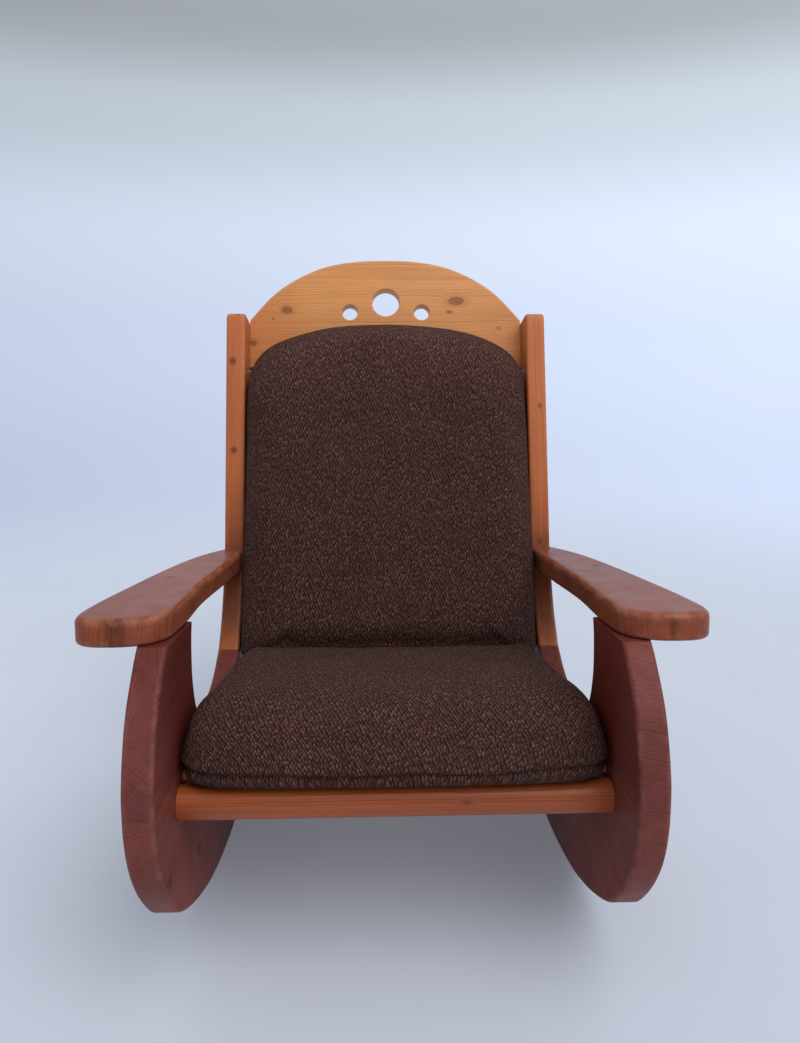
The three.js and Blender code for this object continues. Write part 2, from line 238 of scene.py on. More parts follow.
def revolve(name, profile, centre, axis, sides=40):
    """A turned piece: profile is (radius, distance along the axis), millimetres, ending on the axis."""
    bm = bmesh.new()
    layer = bm.verts.layers.float.new("arris")
    ax = Vector(axis).normalized()
    side = ax.cross(Vector((0, 0, 1)))
    if side.length < 0.1:
        side = ax.cross(Vector((0, 1, 0)))
    side.normalize()
    up = ax.cross(side)
    rings = []
    for r, h in profile:
        if r < 1e-6:
            rings.append([bm.verts.new(centre + ax * (h / 1000))])
        else:
            rings.append([bm.verts.new(centre + ax * (h / 1000) + (side * math.cos(2 * math.pi * k / sides) + up * math.sin(2 * math.pi * k / sides)) * (r / 1000)) for k in range(sides)])
    for a, b in zip(rings, rings[1:]):
        for k in range(sides):
            j = (k + 1) % sides
            if len(a) == 1:
                bm.faces.new([a[0], b[j], b[k]])
            elif len(b) == 1:
                bm.faces.new([a[k], a[j], b[0]])
            else:
                bm.faces.new([a[k], a[j], b[j], b[k]])
    return finish_mesh(bm, name)


def arc_points(cx, cy, r, a0, a1, n):
    return [(cx + r * math.cos(math.radians(a0 + (a1 - a0) * k / n)), cy + r * math.sin(math.radians(a0 + (a1 - a0) * k / n))) for k in range(n + 1)]


# ------------------------------------------------------------------- profiles
front_low = [(1.2, 309.95), (0, 293), (1, 275), (3, 259), (6.5, 244), (11.5, 228), (19, 211), (30, 190.5), (44, 169), (60, 148),
             (78, 127.5), (100, 110), (126, 94), (155, 78.5), (190, 62)]
front_high = [(1.2, 309.95), (2.5, 326), (5, 340), (10, 356), (17, 374), (25, 392), (34, 409), (44, 424), (55, 437), (66, 448.5), (79, 461), (92, 473)]
cut_low = [(262, seam_z(262)), (277, 283), (297, 268), (322, 257), (352, 250), (385, 246.5), (420, 245.5), (455, 247), (490, 251.5), (515, 257.5), (540, 266.5), (560, 277)]
upright_rear = [(249, 317), (239, 335), (231, 354), (226.5, 375), (225, 396), (228, 421), (233, 445), (241, arm_z(241) - GAP)]
tail = [(742, 262), (756, 240), (780, 214), (812, 191), (852, 172), (895, 159.5), (935, 152), (962, 147.5), (977, 141), (984, 131), (981, 120.5), (968, 113.5)]
post_low = [(597, 306), (614, 324.5), (630, 345), (644, 367), (658, 391.5), (671, 416)]


def rolling(deg):
    return (ROCKER_Y + ROCKER_R * math.sin(math.radians(deg)), ROCKER_R * (1 - math.cos(math.radians(deg))))


roll = [rolling(a) for a in np.arange(-16.0, 24.01, 2.0)] + [rolling(27.6)]
edge_a = curve(front_low + roll + tail[::-1] + [(POST_FOOT_R, seam_z(POST_FOOT_R))], 4, before=front_high[1], after=(735, 282))
edge_a = [(min(max(y, 0.0), 984.0), max(z, 0.0)) for y, z in edge_a]
edge_c = curve([(POST_FOOT_F, seam_z(POST_FOOT_F))] + cut_low[::-1], 4, before=post_low[0], after=(249, 317))
rocker_pts, rocker_flags = outline_of(
    (edge_a, 1),
    (line(edge_a[-1], edge_c[0]) + [edge_c[0]], 0),
    (edge_c, 1),
    (line(edge_c[-1], edge_a[0]) + [edge_a[0]], 0),
)

up_front = curve([(104, arm_z(104) - GAP)] + front_high[::-1][:-1] + [(1.25, seam_z(1.25) + GAP)], 4, after=front_low[1])
up_rear = curve([(262, seam_z(262) + GAP)] + upright_rear, 4, before=(277, 283))
upright_pts, upright_flags = outline_of(
    (up_front, 1),
    (line(up_front[-1], up_rear[0]) + [up_rear[0]], 0),
    (up_rear, 1),
    (line(up_rear[-1], up_front[0]) + [up_front[0]], 0),
)

foot_f, foot_r = (POST_FOOT_F + 0.3, seam_z(POST_FOOT_F) + GAP), (POST_FOOT_R, seam_z(POST_FOOT_R) + GAP)


def corner(s, depth, a0, a1, r=11.0, n=6):
    return [back_point(s + r * math.sin(math.radians(a0 + (a1 - a0) * k / n)), depth + r * math.cos(math.radians(a0 + (a1 - a0) * k / n))) for k in range(n + 1)]


post_front = curve([back_point(466, 0), back_point(360, 0), back_point(240, 0), back_point(120, 0), back_point(40, 0), back_point(0, 0)] + post_low[::-1] + [foot_f], 5, after=(560, 277))
post_rear = curve([foot_r, back_point(-80, POST_DEPTH), back_point(0, POST_DEPTH), back_point(150, POST_DEPTH), back_point(300, POST_DEPTH), back_point(466, POST_DEPTH)], 4)
post_pts, post_flags = outline_of(
    (line(foot_f, foot_r) + [foot_r], 0),
    (post_rear, 1),
    (corner(466, POST_DEPTH - 11, 0, 90), 1),
    (line(back_point(477, POST_DEPTH - 11), back_point(477, 11)) + [back_point(477, 11)], 1),
    (corner(466, 11, 90, 180), 1),
    (post_front, 1),
)


def post_front_y(z):
    """Where the post's front face is at height z."""
    best = post_front
    for (ya, za), (yb, zb) in zip(best, best[1:]):
        if min(za, zb) <= z <= max(za, zb) and za != zb:
            return ya + (yb - ya) * (z - za) / (zb - za)
    return best[0][0]


rail_screws = {"front_rail": (RAIL_Y, RAIL_Z), "rear_rail": (652.0, 176.0),
               "crest_upper": back_point(457, BACK_SET + CREST_T / 2), "crest_lower": back_point(430, BACK_SET + CREST_T / 2)}

# ------------------------------------------------------------- shader helpers


class Nodes:
    """Short names for building a node tree."""

    def __init__(self, name):
        self.mat = bpy.data.materials.new(name)
        self.mat.use_nodes = True
        self.t = self.mat.node_tree
        self.t.nodes.clear()
        self.out = self.t.nodes.new("ShaderNodeOutputMaterial")
        self.b = self.t.nodes.new("ShaderNodeBsdfPrincipled")
        self.t.links.new(self.b.outputs[0], self.out.inputs["Surface"])

    def put(self, socket, value):
        if isinstance(value, bpy.types.NodeSocket):
            self.t.links.new(value, socket)
        else:
            socket.default_value = value

    def node(self, kind, **inputs):
        n = self.t.nodes.new(kind)
        for k, v in inputs.items():
            self.put(n.inputs[k.replace("_", " ")], v)
        return n

    def m(self, op, a, b=None, c=None, clamp=False):
        n = self.t.nodes.new("ShaderNodeMath")
        n.operation, n.use_clamp = op, clamp
        for i, v in enumerate((a, b, c)):
            if v is not None:
                self.put(n.inputs[i], v)
        return n.outputs[0]

    def v(self, op, a, b=None, scale=None):
        n = self.t.nodes.new("ShaderNodeVectorMath")
        n.operation = op
        self.put(n.inputs[0], a)
        if b is not None:
            self.put(n.inputs[1], b)
        if scale is not None:
            self.put(n.inputs["Scale"], scale)
        return n.outputs["Value"] if op in ("DOT_PRODUCT", "LENGTH", "DISTANCE") else n.outputs["Vector"]

    def step(self, x, lo, hi, a=0.0, b=1.0):
        n = self.t.nodes.new("ShaderNodeMapRange")
        n.interpolation_type = "SMOOTHSTEP"
        for k, val in zip((0, 1, 2, 3, 4), (x, lo, hi, a, b)):
            self.put(n.inputs[k], val)
        return n.outputs[0]

    def lin(self, x, lo, hi, a=0.0, b=1.0):
        n = self.t.nodes.new("ShaderNodeMapRange")
        for k, val in zip((0, 1, 2, 3, 4), (x, lo, hi, a, b)):
            self.put(n.inputs[k], val)
        return n.outputs[0]

    def mix(self, f, a, b, kind="MIX"):
        n = self.t.nodes.new("ShaderNodeMix")
        n.data_type, n.blend_type = "RGBA", kind
        self.put(n.inputs[0], f)
        for i, val in ((6, a), (7, b)):
            self.put(n.inputs[i], tuple(val) + (1.0,) if isinstance(val, (tuple, list)) and len(val) == 3 else val)
        return n.outputs[2]

    def noise(self, vec, scale, detail=2.0, rough=0.5, dims="3D", distortion=0.0):
        n = self.t.nodes.new("ShaderNodeTexNoise")
        n.noise_dimensions = dims
        self.put(n.inputs["Vector"], vec)
        for k, val in (("Scale", scale), ("Detail", detail), ("Roughness", rough), ("Distortion", distortion)):
            self.put(n.inputs[k], val)
        return n.outputs[0]

    def combine(self, x, y, z):
        n = self.t.nodes.new("ShaderNodeCombineXYZ")
        for i, val in enumerate((x, y, z)):
            self.put(n.inputs[i], val)
        return n.outputs[0]

    def attr(self, name):
        n = self.t.nodes.new("ShaderNodeAttribute")
        n.attribute_name = name
        return n

    def object_coords(self):
        return self.t.nodes.new("ShaderNodeTexCoord").outputs["Object"]

    def bump(self, height, strength, distance, normal=None):
        n = self.t.nodes.new("ShaderNodeBump")
        self.put(n.inputs["Height"], height)
        n.inputs["Strength"].default_value = strength
        n.inputs["Distance"].default_value = distance
        if normal is not None:
            self.put(n.inputs["Normal"], normal)
        return n.outputs[0]


def wood(name, grain, face, pith, early, late, wear_and_highlight=None, ring=3.4, knots=(), rough=0.42, coat=0.08, coat_rough=0.22,
         spec=0.32, late_amount=0.75, wobble=7.0, seed=0.0, painted_light_spots=(), streak=0.16, bump=0.35, blotch=0.25, end=None, marks=()):
    """Varnished pine. grain and face are unit directions (along the grain, and out of the board's face);
    pith is the tree's centre line, as distances (mm) along face and along the third direction.
    knots: (x, y, z in metres, radius mm, stretch along the grain, strength). The spots of painted light and shade are
    (x, y, z, size in m, colour, amount)."""
    n = Nodes(name)
    g, f = Vector(grain).normalized(), Vector(face).normalized()
    c = g.cross(f).normalized()
    p = n.object_coords()
    along = n.v("DOT_PRODUCT", p, tuple(g))
    a = n.m("SUBTRACT", n.v("DOT_PRODUCT", p, tuple(f)), pith[0] / 1000)
    b = n.m("SUBTRACT", n.v("DOT_PRODUCT", p, tuple(c)), pith[1] / 1000)
    # slow wander of the growth rings along the board
    slow = n.combine(n.m("MULTIPLY", along, 2.6), n.m("MULTIPLY_ADD", a, 9.0, seed), n.m("MULTIPLY", b, 9.0))
    w1 = n.m("MULTIPLY", n.m("SUBTRACT", n.noise(slow, 1.0, 2.0), 0.5), wobble / 1000 * 2)
    slow2 = n.combine(n.m("MULTIPLY", along, 9.0), n.m("MULTIPLY_ADD", a, 28.0, seed + 5.0), n.m("MULTIPLY", b, 28.0))
    w2 = n.m("MULTIPLY", n.m("SUBTRACT", n.noise(slow2, 1.0, 2.0), 0.5), wobble / 1000 * 0.5)
    a2, b2 = n.m("ADD", a, w1), n.m("ADD", b, w2)
    radius = n.m("SQRT", n.m("ADD", n.m("MULTIPLY", a2, a2), n.m("MULTIPLY", b2, b2)))
    core = None
    for kx, ky, kz, kr, stretch, power in knots:
        q = n.v("SUBTRACT", p, (kx, ky, kz))
        qa, qb, qf = n.v("DOT_PRODUCT", q, tuple(g)), n.v("DOT_PRODUCT", q, tuple(c)), n.v("DOT_PRODUCT", q, tuple(f))
        tilt = n.m("MULTIPLY", qf, 0.3)
        dist = n.m("MULTIPLY", n.m("SQRT", n.m("ADD", n.m("POWER", n.m("DIVIDE", n.m("ADD", qa, tilt), stretch), 2.0), n.m("MULTIPLY", qb, qb))), 1000.0 / kr)
        dist = n.m("ADD", dist, n.m("MULTIPLY", n.m("SUBTRACT", n.noise(n.v("SCALE", p, scale=1000 / kr / 2.4), 1.0, 2.0), 0.5), 0.45))
        bulge = n.m("MULTIPLY", n.m("EXPONENT", n.m("MULTIPLY", n.m("MULTIPLY", dist, dist), -0.22)), kr / 1000 * 1.5)
        radius = n.m("ADD", radius, bulge)
        inside = n.step(dist, 1.12, 0.86)
        ringed = n.m("MULTIPLY_ADD", n.m("SINE", n.m("MULTIPLY", dist, 13.0)), 0.16, 0.84)
        rim = n.m("EXPONENT", n.m("MULTIPLY", n.m("POWER", n.m("SUBTRACT", dist, 1.0), 2.0), -30.0))
        mask = n.m("MULTIPLY", n.m("MAXIMUM", n.m("MULTIPLY", inside, ringed), n.m("MULTIPLY", rim, 0.95)), power, clamp=True)
        halo = n.m("MULTIPLY", n.step(dist, 2.6, 0.9), 0.30 * power)
        mask = n.m("MAXIMUM", mask, halo)
        core = mask if core is None else n.m("MAXIMUM", core, mask)
    turns = n.m("DIVIDE", radius, ring / 1000)
    turns = n.m("ADD", turns, n.m("MULTIPLY", n.noise(n.combine(n.m("MULTIPLY", along, 1.4), n.m("MULTIPLY", radius, 60.0), seed), 1.0, 1.0), 2.2))
    part = n.m("FRACT", turns)
    each = n.t.nodes.new("ShaderNodeTexWhiteNoise")
    each.noise_dimensions = "1D"
    n.put(each.inputs["W"], n.m("ADD", n.m("FLOOR", turns), seed))
    lateness = n.m("MULTIPLY", n.step(part, 0.35, 0.90), n.step(part, 1.0, 0.93))
    lateness = n.m("MULTIPLY", lateness, n.m("MULTIPLY_ADD", each.outputs["Value"], 0.65, 0.35))
    # fibres
    fine = n.combine(n.m("MULTIPLY", along, 14.0), n.m("MULTIPLY", a, 620.0), n.m("MULTIPLY", b, 620.0))
    fibre = n.noise(fine, 1.0, 3.0, 0.6)
    coarse = n.combine(n.m("MULTIPLY_ADD", along, 3.0, seed), n.m("MULTIPLY", a, 90.0), n.m("MULTIPLY", b, 90.0))
    streaks = n.noise(coarse, 1.0, 3.0, 0.55)
    cloud = n.noise(n.combine(n.m("MULTIPLY", along, 4.0), n.m("MULTIPLY_ADD", a, 11.0, seed), n.m("MULTIPLY", b, 11.0)), 1.0, 3.0, 0.5)
    colour = n.mix(n.m("MULTIPLY", lateness, late_amount, clamp=True), early, late)
    shade = n.m("ADD", 1.0, n.m("ADD", n.m("MULTIPLY", n.m("SUBTRACT", streaks, 0.5), streak * 3.2), n.m("MULTIPLY", n.m("SUBTRACT", fibre, 0.5), streak * 1.6)))
    shade = n.m("ADD", shade, n.m("MULTIPLY", n.m("SUBTRACT", cloud, 0.5), blotch * 2.4))
    dashes = n.step(n.noise(n.combine(n.m("MULTIPLY", along, 60.0), n.m("MULTIPLY", a, 900.0), n.m("MULTIPLY", b, 900.0)), 1.0, 1.0), 0.70, 0.80)
    shade = n.m("MULTIPLY", shade, n.m("MULTIPLY_ADD", dashes, -0.22, 1.0))
    colour = n.mix(1.0, colour, n.combine(shade, shade, shade), "MULTIPLY")
    # painted light and shade: each spot makes the colour lighter or darker near its point, where light or shade falls
    # on the board
    for tx, ty, tz, size, tint, amount in painted_light_spots:
        away = n.m("DIVIDE", n.v("LENGTH", n.v("SUBTRACT", p, (tx, ty, tz))), size)
        light_shade_mask = n.m("MULTIPLY", n.step(n.m("ADD", away, n.m("MULTIPLY", n.m("SUBTRACT", cloud, 0.5), 0.5)), 1.0, 0.25), amount)
        colour = n.mix(light_shade_mask, colour, tint, "MULTIPLY")
    if core is not None:
        dark = n.mix(n.noise(n.v("SCALE", p, scale=260.0), 1.0, 2.0), tuple(x * 0.26 for x in late), tuple(x * 0.62 for x in late))
        colour = n.mix(core, colour, dark)
    for (ax, ay, az), (bx, by, bz), width, depth in marks:
        A, B = Vector((ax, ay, az)), Vector((bx, by, bz))
        d = (B - A)
        q = n.v("SUBTRACT", p, tuple(A))
        t = n.m("DIVIDE", n.v("DOT_PRODUCT", q, tuple(d)), d.length_squared, clamp=True)
        near = n.v("LENGTH", n.v("SUBTRACT", q, n.v("SCALE", tuple(d), scale=t)))
        wob = n.m("MULTIPLY", n.m("SUBTRACT", n.noise(n.v("SCALE", p, scale=180.0), 1.0, 2.0), 0.5), width / 1000 * 1.6)
        mark = n.step(n.m("ADD", near, wob), width / 1000, width / 1000 * 0.35)
        colour = n.mix(n.m("MULTIPLY", mark, depth), colour, tuple(x * 0.2 for x in late))
    # worn arrises: the rounded edges lighten in patches, partly real wear and partly a painted highlight line; the wear
    # also roughens them
    arris = n.attr("arris").outputs["Fac"]
    patchy = n.noise(n.combine(n.m("MULTIPLY", along, 26.0), n.m("MULTIPLY", a, 60.0), n.m("MULTIPLY", b, 60.0)), 1.0, 4.0, 0.62)
    worn_and_highlit = n.m("MULTIPLY", arris, n.step(patchy, 0.38, 0.66))
    if wear_and_highlight is not None:
        colour = n.mix(n.m("MULTIPLY", worn_and_highlit, wear_and_highlight[3]), colour, wear_and_highlight[:3])
    n.put(n.b.inputs["Base Color"], colour)
    scuff = n.noise(n.v("SCALE", p, scale=23.0), 1.0, 4.0, 0.6)
    r = n.m("ADD", n.m("MULTIPLY_ADD", n.m("SUBTRACT", scuff, 0.5), 0.26, rough), n.m("ADD", n.m("MULTIPLY", worn_and_highlit, 0.10), n.m("MULTIPLY", lateness, -0.05)), clamp=True)
    n.put(n.b.inputs["Roughness"], r)
    n.b.inputs["Specular IOR Level"].default_value = spec
    n.b.inputs["Coat Weight"].default_value = coat
    n.b.inputs["Coat Roughness"].default_value = coat_rough
    height = n.m("ADD", n.m("MULTIPLY", lateness, 0.6), n.m("ADD", n.m("MULTIPLY", fibre, 0.5), n.m("MULTIPLY", dashes, -0.5)))
    if core is not None:
        height = n.m("ADD", height, n.m("MULTIPLY", core, -0.5))
    n.put(n.b.inputs["Normal"], n.bump(height, bump, 0.0006, n.bump(n.noise(n.v("SCALE", p, scale=34.0), 1.0, 2.0), 0.25, 0.0012)))
    return n.mat


def cloth(name):
    """Chunky brown tweed: staggered nubs of yarn on a diagonal, with paler flecks."""
    n = Nodes(name)
    uv = n.attr("weave").outputs["Vector"]
    sep = n.t.nodes.new("ShaderNodeSeparateXYZ")
    n.put(sep.inputs[0], uv)
    u, v = sep.outputs[0], sep.outputs[1]
    drift = n.noise(n.v("SCALE", uv, scale=22.0), 1.0, 2.0)
    drift2 = n.noise(n.v("ADD", n.v("SCALE", uv, scale=22.0), (7.3, 2.1, 0.0)), 1.0, 2.0)
    # nubs lie along a diagonal that leans to the right, staggered by half a nub from row to row
    lean, across = n.m("ADD", n.m("MULTIPLY", u, 0.48), n.m("MULTIPLY", v, 0.877)), n.m("SUBTRACT", n.m("MULTIPLY", u, 0.877), n.m("MULTIPLY", v, 0.48))
    u1 = n.m("ADD", n.m("MULTIPLY", across, 1 / 0.0040), n.m("MULTIPLY", drift, 1.3))
    v1 = n.m("ADD", n.m("MULTIPLY", lean, 1 / 0.0066), n.m("MULTIPLY", drift2, 1.0))
    grid = n.combine(u1, n.m("ADD", v1, n.m("MULTIPLY", u1, 0.5)), 0.0)
    cell = n.t.nodes.new("ShaderNodeTexVoronoi")
    cell.voronoi_dimensions = "2D"
    cell.feature = "SMOOTH_F1"
    n.put(cell.inputs["Vector"], grid)
    cell.inputs["Scale"].default_value = 1.0
    cell.inputs["Randomness"].default_value = 0.46
    cell.inputs["Smoothness"].default_value = 0.35
    pick = n.t.nodes.new("ShaderNodeTexVoronoi")
    pick.voronoi_dimensions = "2D"
    n.put(pick.inputs["Vector"], grid)
    pick.inputs["Scale"].default_value = 1.0
    pick.inputs["Randomness"].default_value = 0.46
    hue = n.t.nodes.new("ShaderNodeSeparateColor")
    n.put(hue.inputs[0], pick.outputs["Color"])
    nub = n.step(cell.outputs["Distance"], 0.62, 0.10)
    fuzz = n.noise(n.v("SCALE", uv, scale=900.0), 1.0, 3.0, 0.65)
    strand = n.noise(n.combine(n.m("ADD", n.m("MULTIPLY", u, 900.0), n.m("MULTIPLY", v, -520.0)), n.m("ADD", n.m("MULTIPLY", v, 190.0), n.m("MULTIPLY", u, 110.0)), 3.0), 1.0, 2.0, 0.6)
    patch = n.noise(n.v("SCALE", uv, scale=9.0), 1.0, 3.0, 0.55)
    pale = n.step(hue.outputs[0], 0.70, 0.98)
    deep, mid, light, fleck = (0.0230, 0.0090, 0.0075), (0.078, 0.0320, 0.0260), (0.135, 0.066, 0.053), (0.250, 0.152, 0.118)
    tone = n.mix(n.m("MULTIPLY", n.m("ADD", hue.outputs[1], n.m("SUBTRACT", strand, 0.5)), 0.75, clamp=True), mid, light)
    tone = n.mix(n.m("MULTIPLY", pale, n.m("MULTIPLY", n.step(strand, 0.40, 0.62), 0.75)), tone, fleck)
    colour = n.mix(n.m("MULTIPLY", nub, n.m("MULTIPLY_ADD", fuzz, 0.7, 0.6), clamp=True), deep, tone)
    shade = n.m("ADD", n.m("MULTIPLY_ADD", n.m("SUBTRACT", patch, 0.5), 0.45, 1.0), n.m("MULTIPLY", n.m("SUBTRACT", fuzz, 0.5), 0.35))
    colour = n.mix(1.0, colour, n.combine(shade, shade, shade), "MULTIPLY")
    # painted light: the cloth is lighter towards the top, where light from above falls on it
    z = n.t.nodes.new("ShaderNodeSeparateXYZ")
    n.put(z.inputs[0], n.object_coords())
    painted_top_light = n.m("MULTIPLY_ADD", n.step(z.outputs[2], 0.70, 0.88), 0.34, 1.0)
    colour = n.mix(1.0, colour, n.combine(painted_top_light, painted_top_light, painted_top_light), "MULTIPLY")
    # painted shadow: a dark line along the seam's crease
    seam = n.attr("seam").outputs["Fac"]
    colour = n.mix(n.m("MULTIPLY", seam, 0.55), colour, (0.010, 0.005, 0.0045))
    n.put(n.b.inputs["Base Color"], colour)
    n.b.inputs["Roughness"].default_value = 0.93
    n.b.inputs["Specular IOR Level"].default_value = 0.06
    n.b.inputs["Sheen Weight"].default_value = 0.03
    n.b.inputs["Sheen Roughness"].default_value = 0.55
    n.b.inputs["Sheen Tint"].default_value = (0.75, 0.60, 0.52, 1.0)
    height = n.m("ADD", n.m("MULTIPLY", nub, 1.0), n.m("ADD", n.m("MULTIPLY", strand, 0.35), n.m("MULTIPLY", fuzz, 0.22)))
    n.put(n.b.inputs["Normal"], n.bump(height, 0.9, 0.0016))
    return n.mat


def metal(name):
    n = Nodes(name)
    p = n.object_coords()
    n.b.inputs["Metallic"].default_value = 1.0
    scratch = n.noise(n.v("SCALE", p, scale=420.0), 1.0, 3.0, 0.6)
    n.put(n.b.inputs["Base Color"], n.mix(scratch, (0.36, 0.36, 0.37), (0.62, 0.61, 0.60)))
    n.put(n.b.inputs["Roughness"], n.m("MULTIPLY_ADD", scratch, 0.3, 0.22))
    n.put(n.b.inputs["Normal"], n.bump(scratch, 0.2, 0.0003))
    return n.mat


# ------------------------------------------------------------------ materials
UPB = (0.0, sinR, cosR)            # up the back
OUTB = (0.0, -cosR, sinR)          # out of the back's front face
ARMU = Vector((0.0, 1.0, ARM_SLOPE)).normalized()
ARMN = Vector((0.0, -ARM_SLOPE, 1.0)).normalized()
SEATU = Vector((0.0, 1.0, SEAT_SLOPE)).normalized()
SEATN = Vector((0.0, -SEAT_SLOPE, 1.0)).normalized()

panel_early, panel_late = (0.158, 0.041, 0.030), (0.094, 0.0225, 0.0165)
# edge colour and amount for the rounded edges: partly worn stain, partly a painted highlight
panel_wear_and_highlight = (0.33, 0.14, 0.10, 0.28)
MAT = {}
for side, sgn in (("left", -1), ("right", 1)):
    k = 0.0 if sgn < 0 else 31.0
    MAT[side + "_rocker"] = wood(
        side + "_rocker_wood", (0, 1, 0), (sgn, 0, 0), (215.0, 60.0 - 300 * 0), panel_early, panel_late, panel_wear_and_highlight, ring=4.6, rough=0.44, coat=0.035,
        coat_rough=0.34, late_amount=0.62, seed=3.0 + k, wobble=16.0, streak=0.17, blotch=0.30,
        knots=[(-0.283, -0.296, 0.137, 6.0, 1.3, 0.9), (-0.303, -0.452, 0.197, 5.0, 1.2, 0.9), (-0.310, 0.10, 0.12, 9.0, 1.4, 0.9)] if sgn < 0
        else [(0.305, 0.02, 0.10, 8.0, 1.3, 0.9), (0.305, 0.33, 0.19, 7.0, 1.3, 0.9)],
        marks=[((-0.282, -0.462, 0.206), (-0.282, -0.440, 0.190), 0.9, 0.7)] if sgn < 0 else [((0.282, -0.389, 0.212), (0.282, -0.395, 0.190), 1.0, 0.9)],
        # painted light and shade on the inner face: warmer and lighter low down, darker higher up under the seat
        spec=0.10, painted_light_spots=[(sgn * 0.282, -0.30, 0.15, 0.24, (1.50, 1.02, 0.84), 0.8), (sgn * 0.282, -0.30, 0.29, 0.16, (0.70, 0.50, 0.45), 0.7)])
    MAT[side + "_upright"] = wood(
        side + "_upright_wood", (0, 1, 0), (sgn, 0, 0), (175.0, 520.0 - 240 * (sgn > 0)), (0.146, 0.037, 0.029), (0.086, 0.0205, 0.0160), panel_wear_and_highlight, ring=4.0, rough=0.42,
        coat=0.05, coat_rough=0.32, late_amount=0.62, seed=11.0 + k, wobble=14.0, streak=0.17, blotch=0.30,
        marks=[] if sgn < 0 else [((0.296, -0.447, 0.399), (0.303, -0.446, 0.397), 1.5, 0.8)],
        # painted light and shade on the inner face: on the right lighter higher up and darker lower down, on the left
        # darker under the arm; the bluish spot on the left front edge is a painted reflection
        spec=0.12, painted_light_spots=[(0.282, -0.30, 0.43, 0.17, (1.25, 0.85, 0.62), 0.7), (0.282, -0.33, 0.36, 0.15, (0.72, 0.50, 0.42), 0.8)] if sgn > 0
        else [(-0.282, -0.33, 0.40, 0.22, (0.62, 0.42, 0.38), 0.9), (-0.305, -0.46, 0.40, 0.12, (1.25, 1.5, 1.6), 0.6)])
    MAT[side + "_post"] = wood(
        side + "_post_wood", UPB, OUTB, (-88.0, sgn * 30.0 + 300 * sgn * 0), (0.500, 0.136, 0.036), (0.295, 0.064, 0.018), (0.48, 0.20, 0.10, 0.35), ring=3.3, rough=0.40, coat=0.07,
        late_amount=0.60, seed=17.0 + k, wobble=7.0, streak=0.15, blotch=0.22,
        knots=[(-0.306, 0.3085, 0.808, 5.2, 1.1, 0.95), (-0.303, 0.2547, 0.637, 4.6, 1.15, 0.95), (-0.297, 0.336, 0.90, 3.0, 1.0, 0.7)] if sgn < 0
        else [(0.306, 0.281, 0.72, 3.6, 1.2, 0.7), (0.299, 0.20, 0.46, 4.2, 1.2, 0.8)],
        # painted shade: darker low on the post, beside the cushions
        painted_light_spots=[(sgn * 0.301, 0.17, 0.36, 0.16, (0.34, 0.30, 0.34), 0.9), (sgn * 0.301, 0.20, 0.46, 0.14, (0.72, 0.62, 0.55), 0.75)])
    MAT[side + "_arm"] = wood(
        side + "_arm_wood", ARMU, ARMN, (430.0, -340.0 * sgn), (0.232, 0.060, 0.026), (0.122, 0.0280, 0.0130), (0.42, 0.20, 0.13, 0.35), ring=4.2, rough=0.38, coat=0.07,
        coat_rough=0.22, spec=0.20, late_amount=0.55, seed=23.0 + k, wobble=12.0, streak=0.16, blotch=0.30,
        knots=[(-0.342, -0.388, 0.4985, 9.0, 1.25, 0.62), (-0.350, -0.10, 0.500, 5.0, 1.5, 0.8)] if sgn < 0
        else [(0.352, -0.02, 0.486, 6.0, 1.6, 0.8), (0.345, -0.388, 0.500, 3.6, 1.2, 0.6)],
        # painted highlight: the front of the arm a little lighter
        painted_light_spots=[(sgn * 0.34, -0.35, 0.50, 0.16, (1.12, 0.96, 0.86), 0.5)])
MAT["crest"] = wood(
    "crest_wood", (1, 0, 0), OUTB, (-640.0, 0.0), (0.660, 0.270, 0.080), (0.410, 0.125, 0.028), (0.62, 0.34, 0.17, 0.40), ring=3.8, rough=0.40, coat=0.07,
    late_amount=0.66, seed=41.0, wobble=13.0, streak=0.13, blotch=0.16,
    knots=[(-0.2058, 0.4035, 0.9096, 6.6, 1.5, 0.9), (0.1475, 0.4094, 0.9285, 7.6, 1.9, 0.9), (0.1325, 0.4023, 0.9059, 3.0, 1.8, 0.8),
           (-0.275, 0.3823, 0.8426, 5.6, 1.1, 0.85), (0.236, 0.392, 0.873, 3.2, 1.4, 0.5), (-0.235, 0.397, 0.892, 2.0, 1.0, 0.8)],
    # painted shade: darker towards both ends, where the crest meets the posts
    painted_light_spots=[(-0.27, 0.39, 0.86, 0.14, (0.80, 0.62, 0.50), 0.75), (0.27, 0.39, 0.86, 0.12, (0.90, 0.78, 0.70), 0.6)])
MAT["rail"] = wood(
    "rail_wood", (1, 0, 0), (0, -1, 0), (300.0, 210.0), (0.335, 0.074, 0.019), (0.200, 0.038, 0.010), (0.42, 0.15, 0.06, 0.35), ring=3.0, rough=0.40, coat=0.06,
    late_amount=0.70, seed=53.0, wobble=5.0, streak=0.16, blotch=0.2, knots=[(0.09, -0.40, 0.27, 3.0, 1.6, 0.6)])
MAT["slat"] = wood(
    "slat_wood", (1, 0, 0), (0, 0, 1), (120.0, 40.0), (0.420, 0.120, 0.034), (0.260, 0.062, 0.017), (0.50, 0.22, 0.09, 0.3), ring=3.2, rough=0.55, coat=0.05,
    late_amount=0.62, seed=61.0, wobble=9.0, streak=0.14, blotch=0.2,
    knots=[(-0.12, -0.1, 0.262, 6.0, 1.5, 0.8), (0.15, 0.30, 0.62, 6.0, 1.5, 0.8), (-0.06, 0.36, 0.75, 5.0, 1.4, 0.8)])
MAT["cleat"] = wood(
    "cleat_wood", (0, 1, 0.01), (1, 0, 0), (80.0, 40.0), (0.380, 0.110, 0.034), (0.240, 0.060, 0.018), (0.46, 0.20, 0.09, 0.3), ring=3.0, rough=0.58, coat=0.04, seed=67.0)
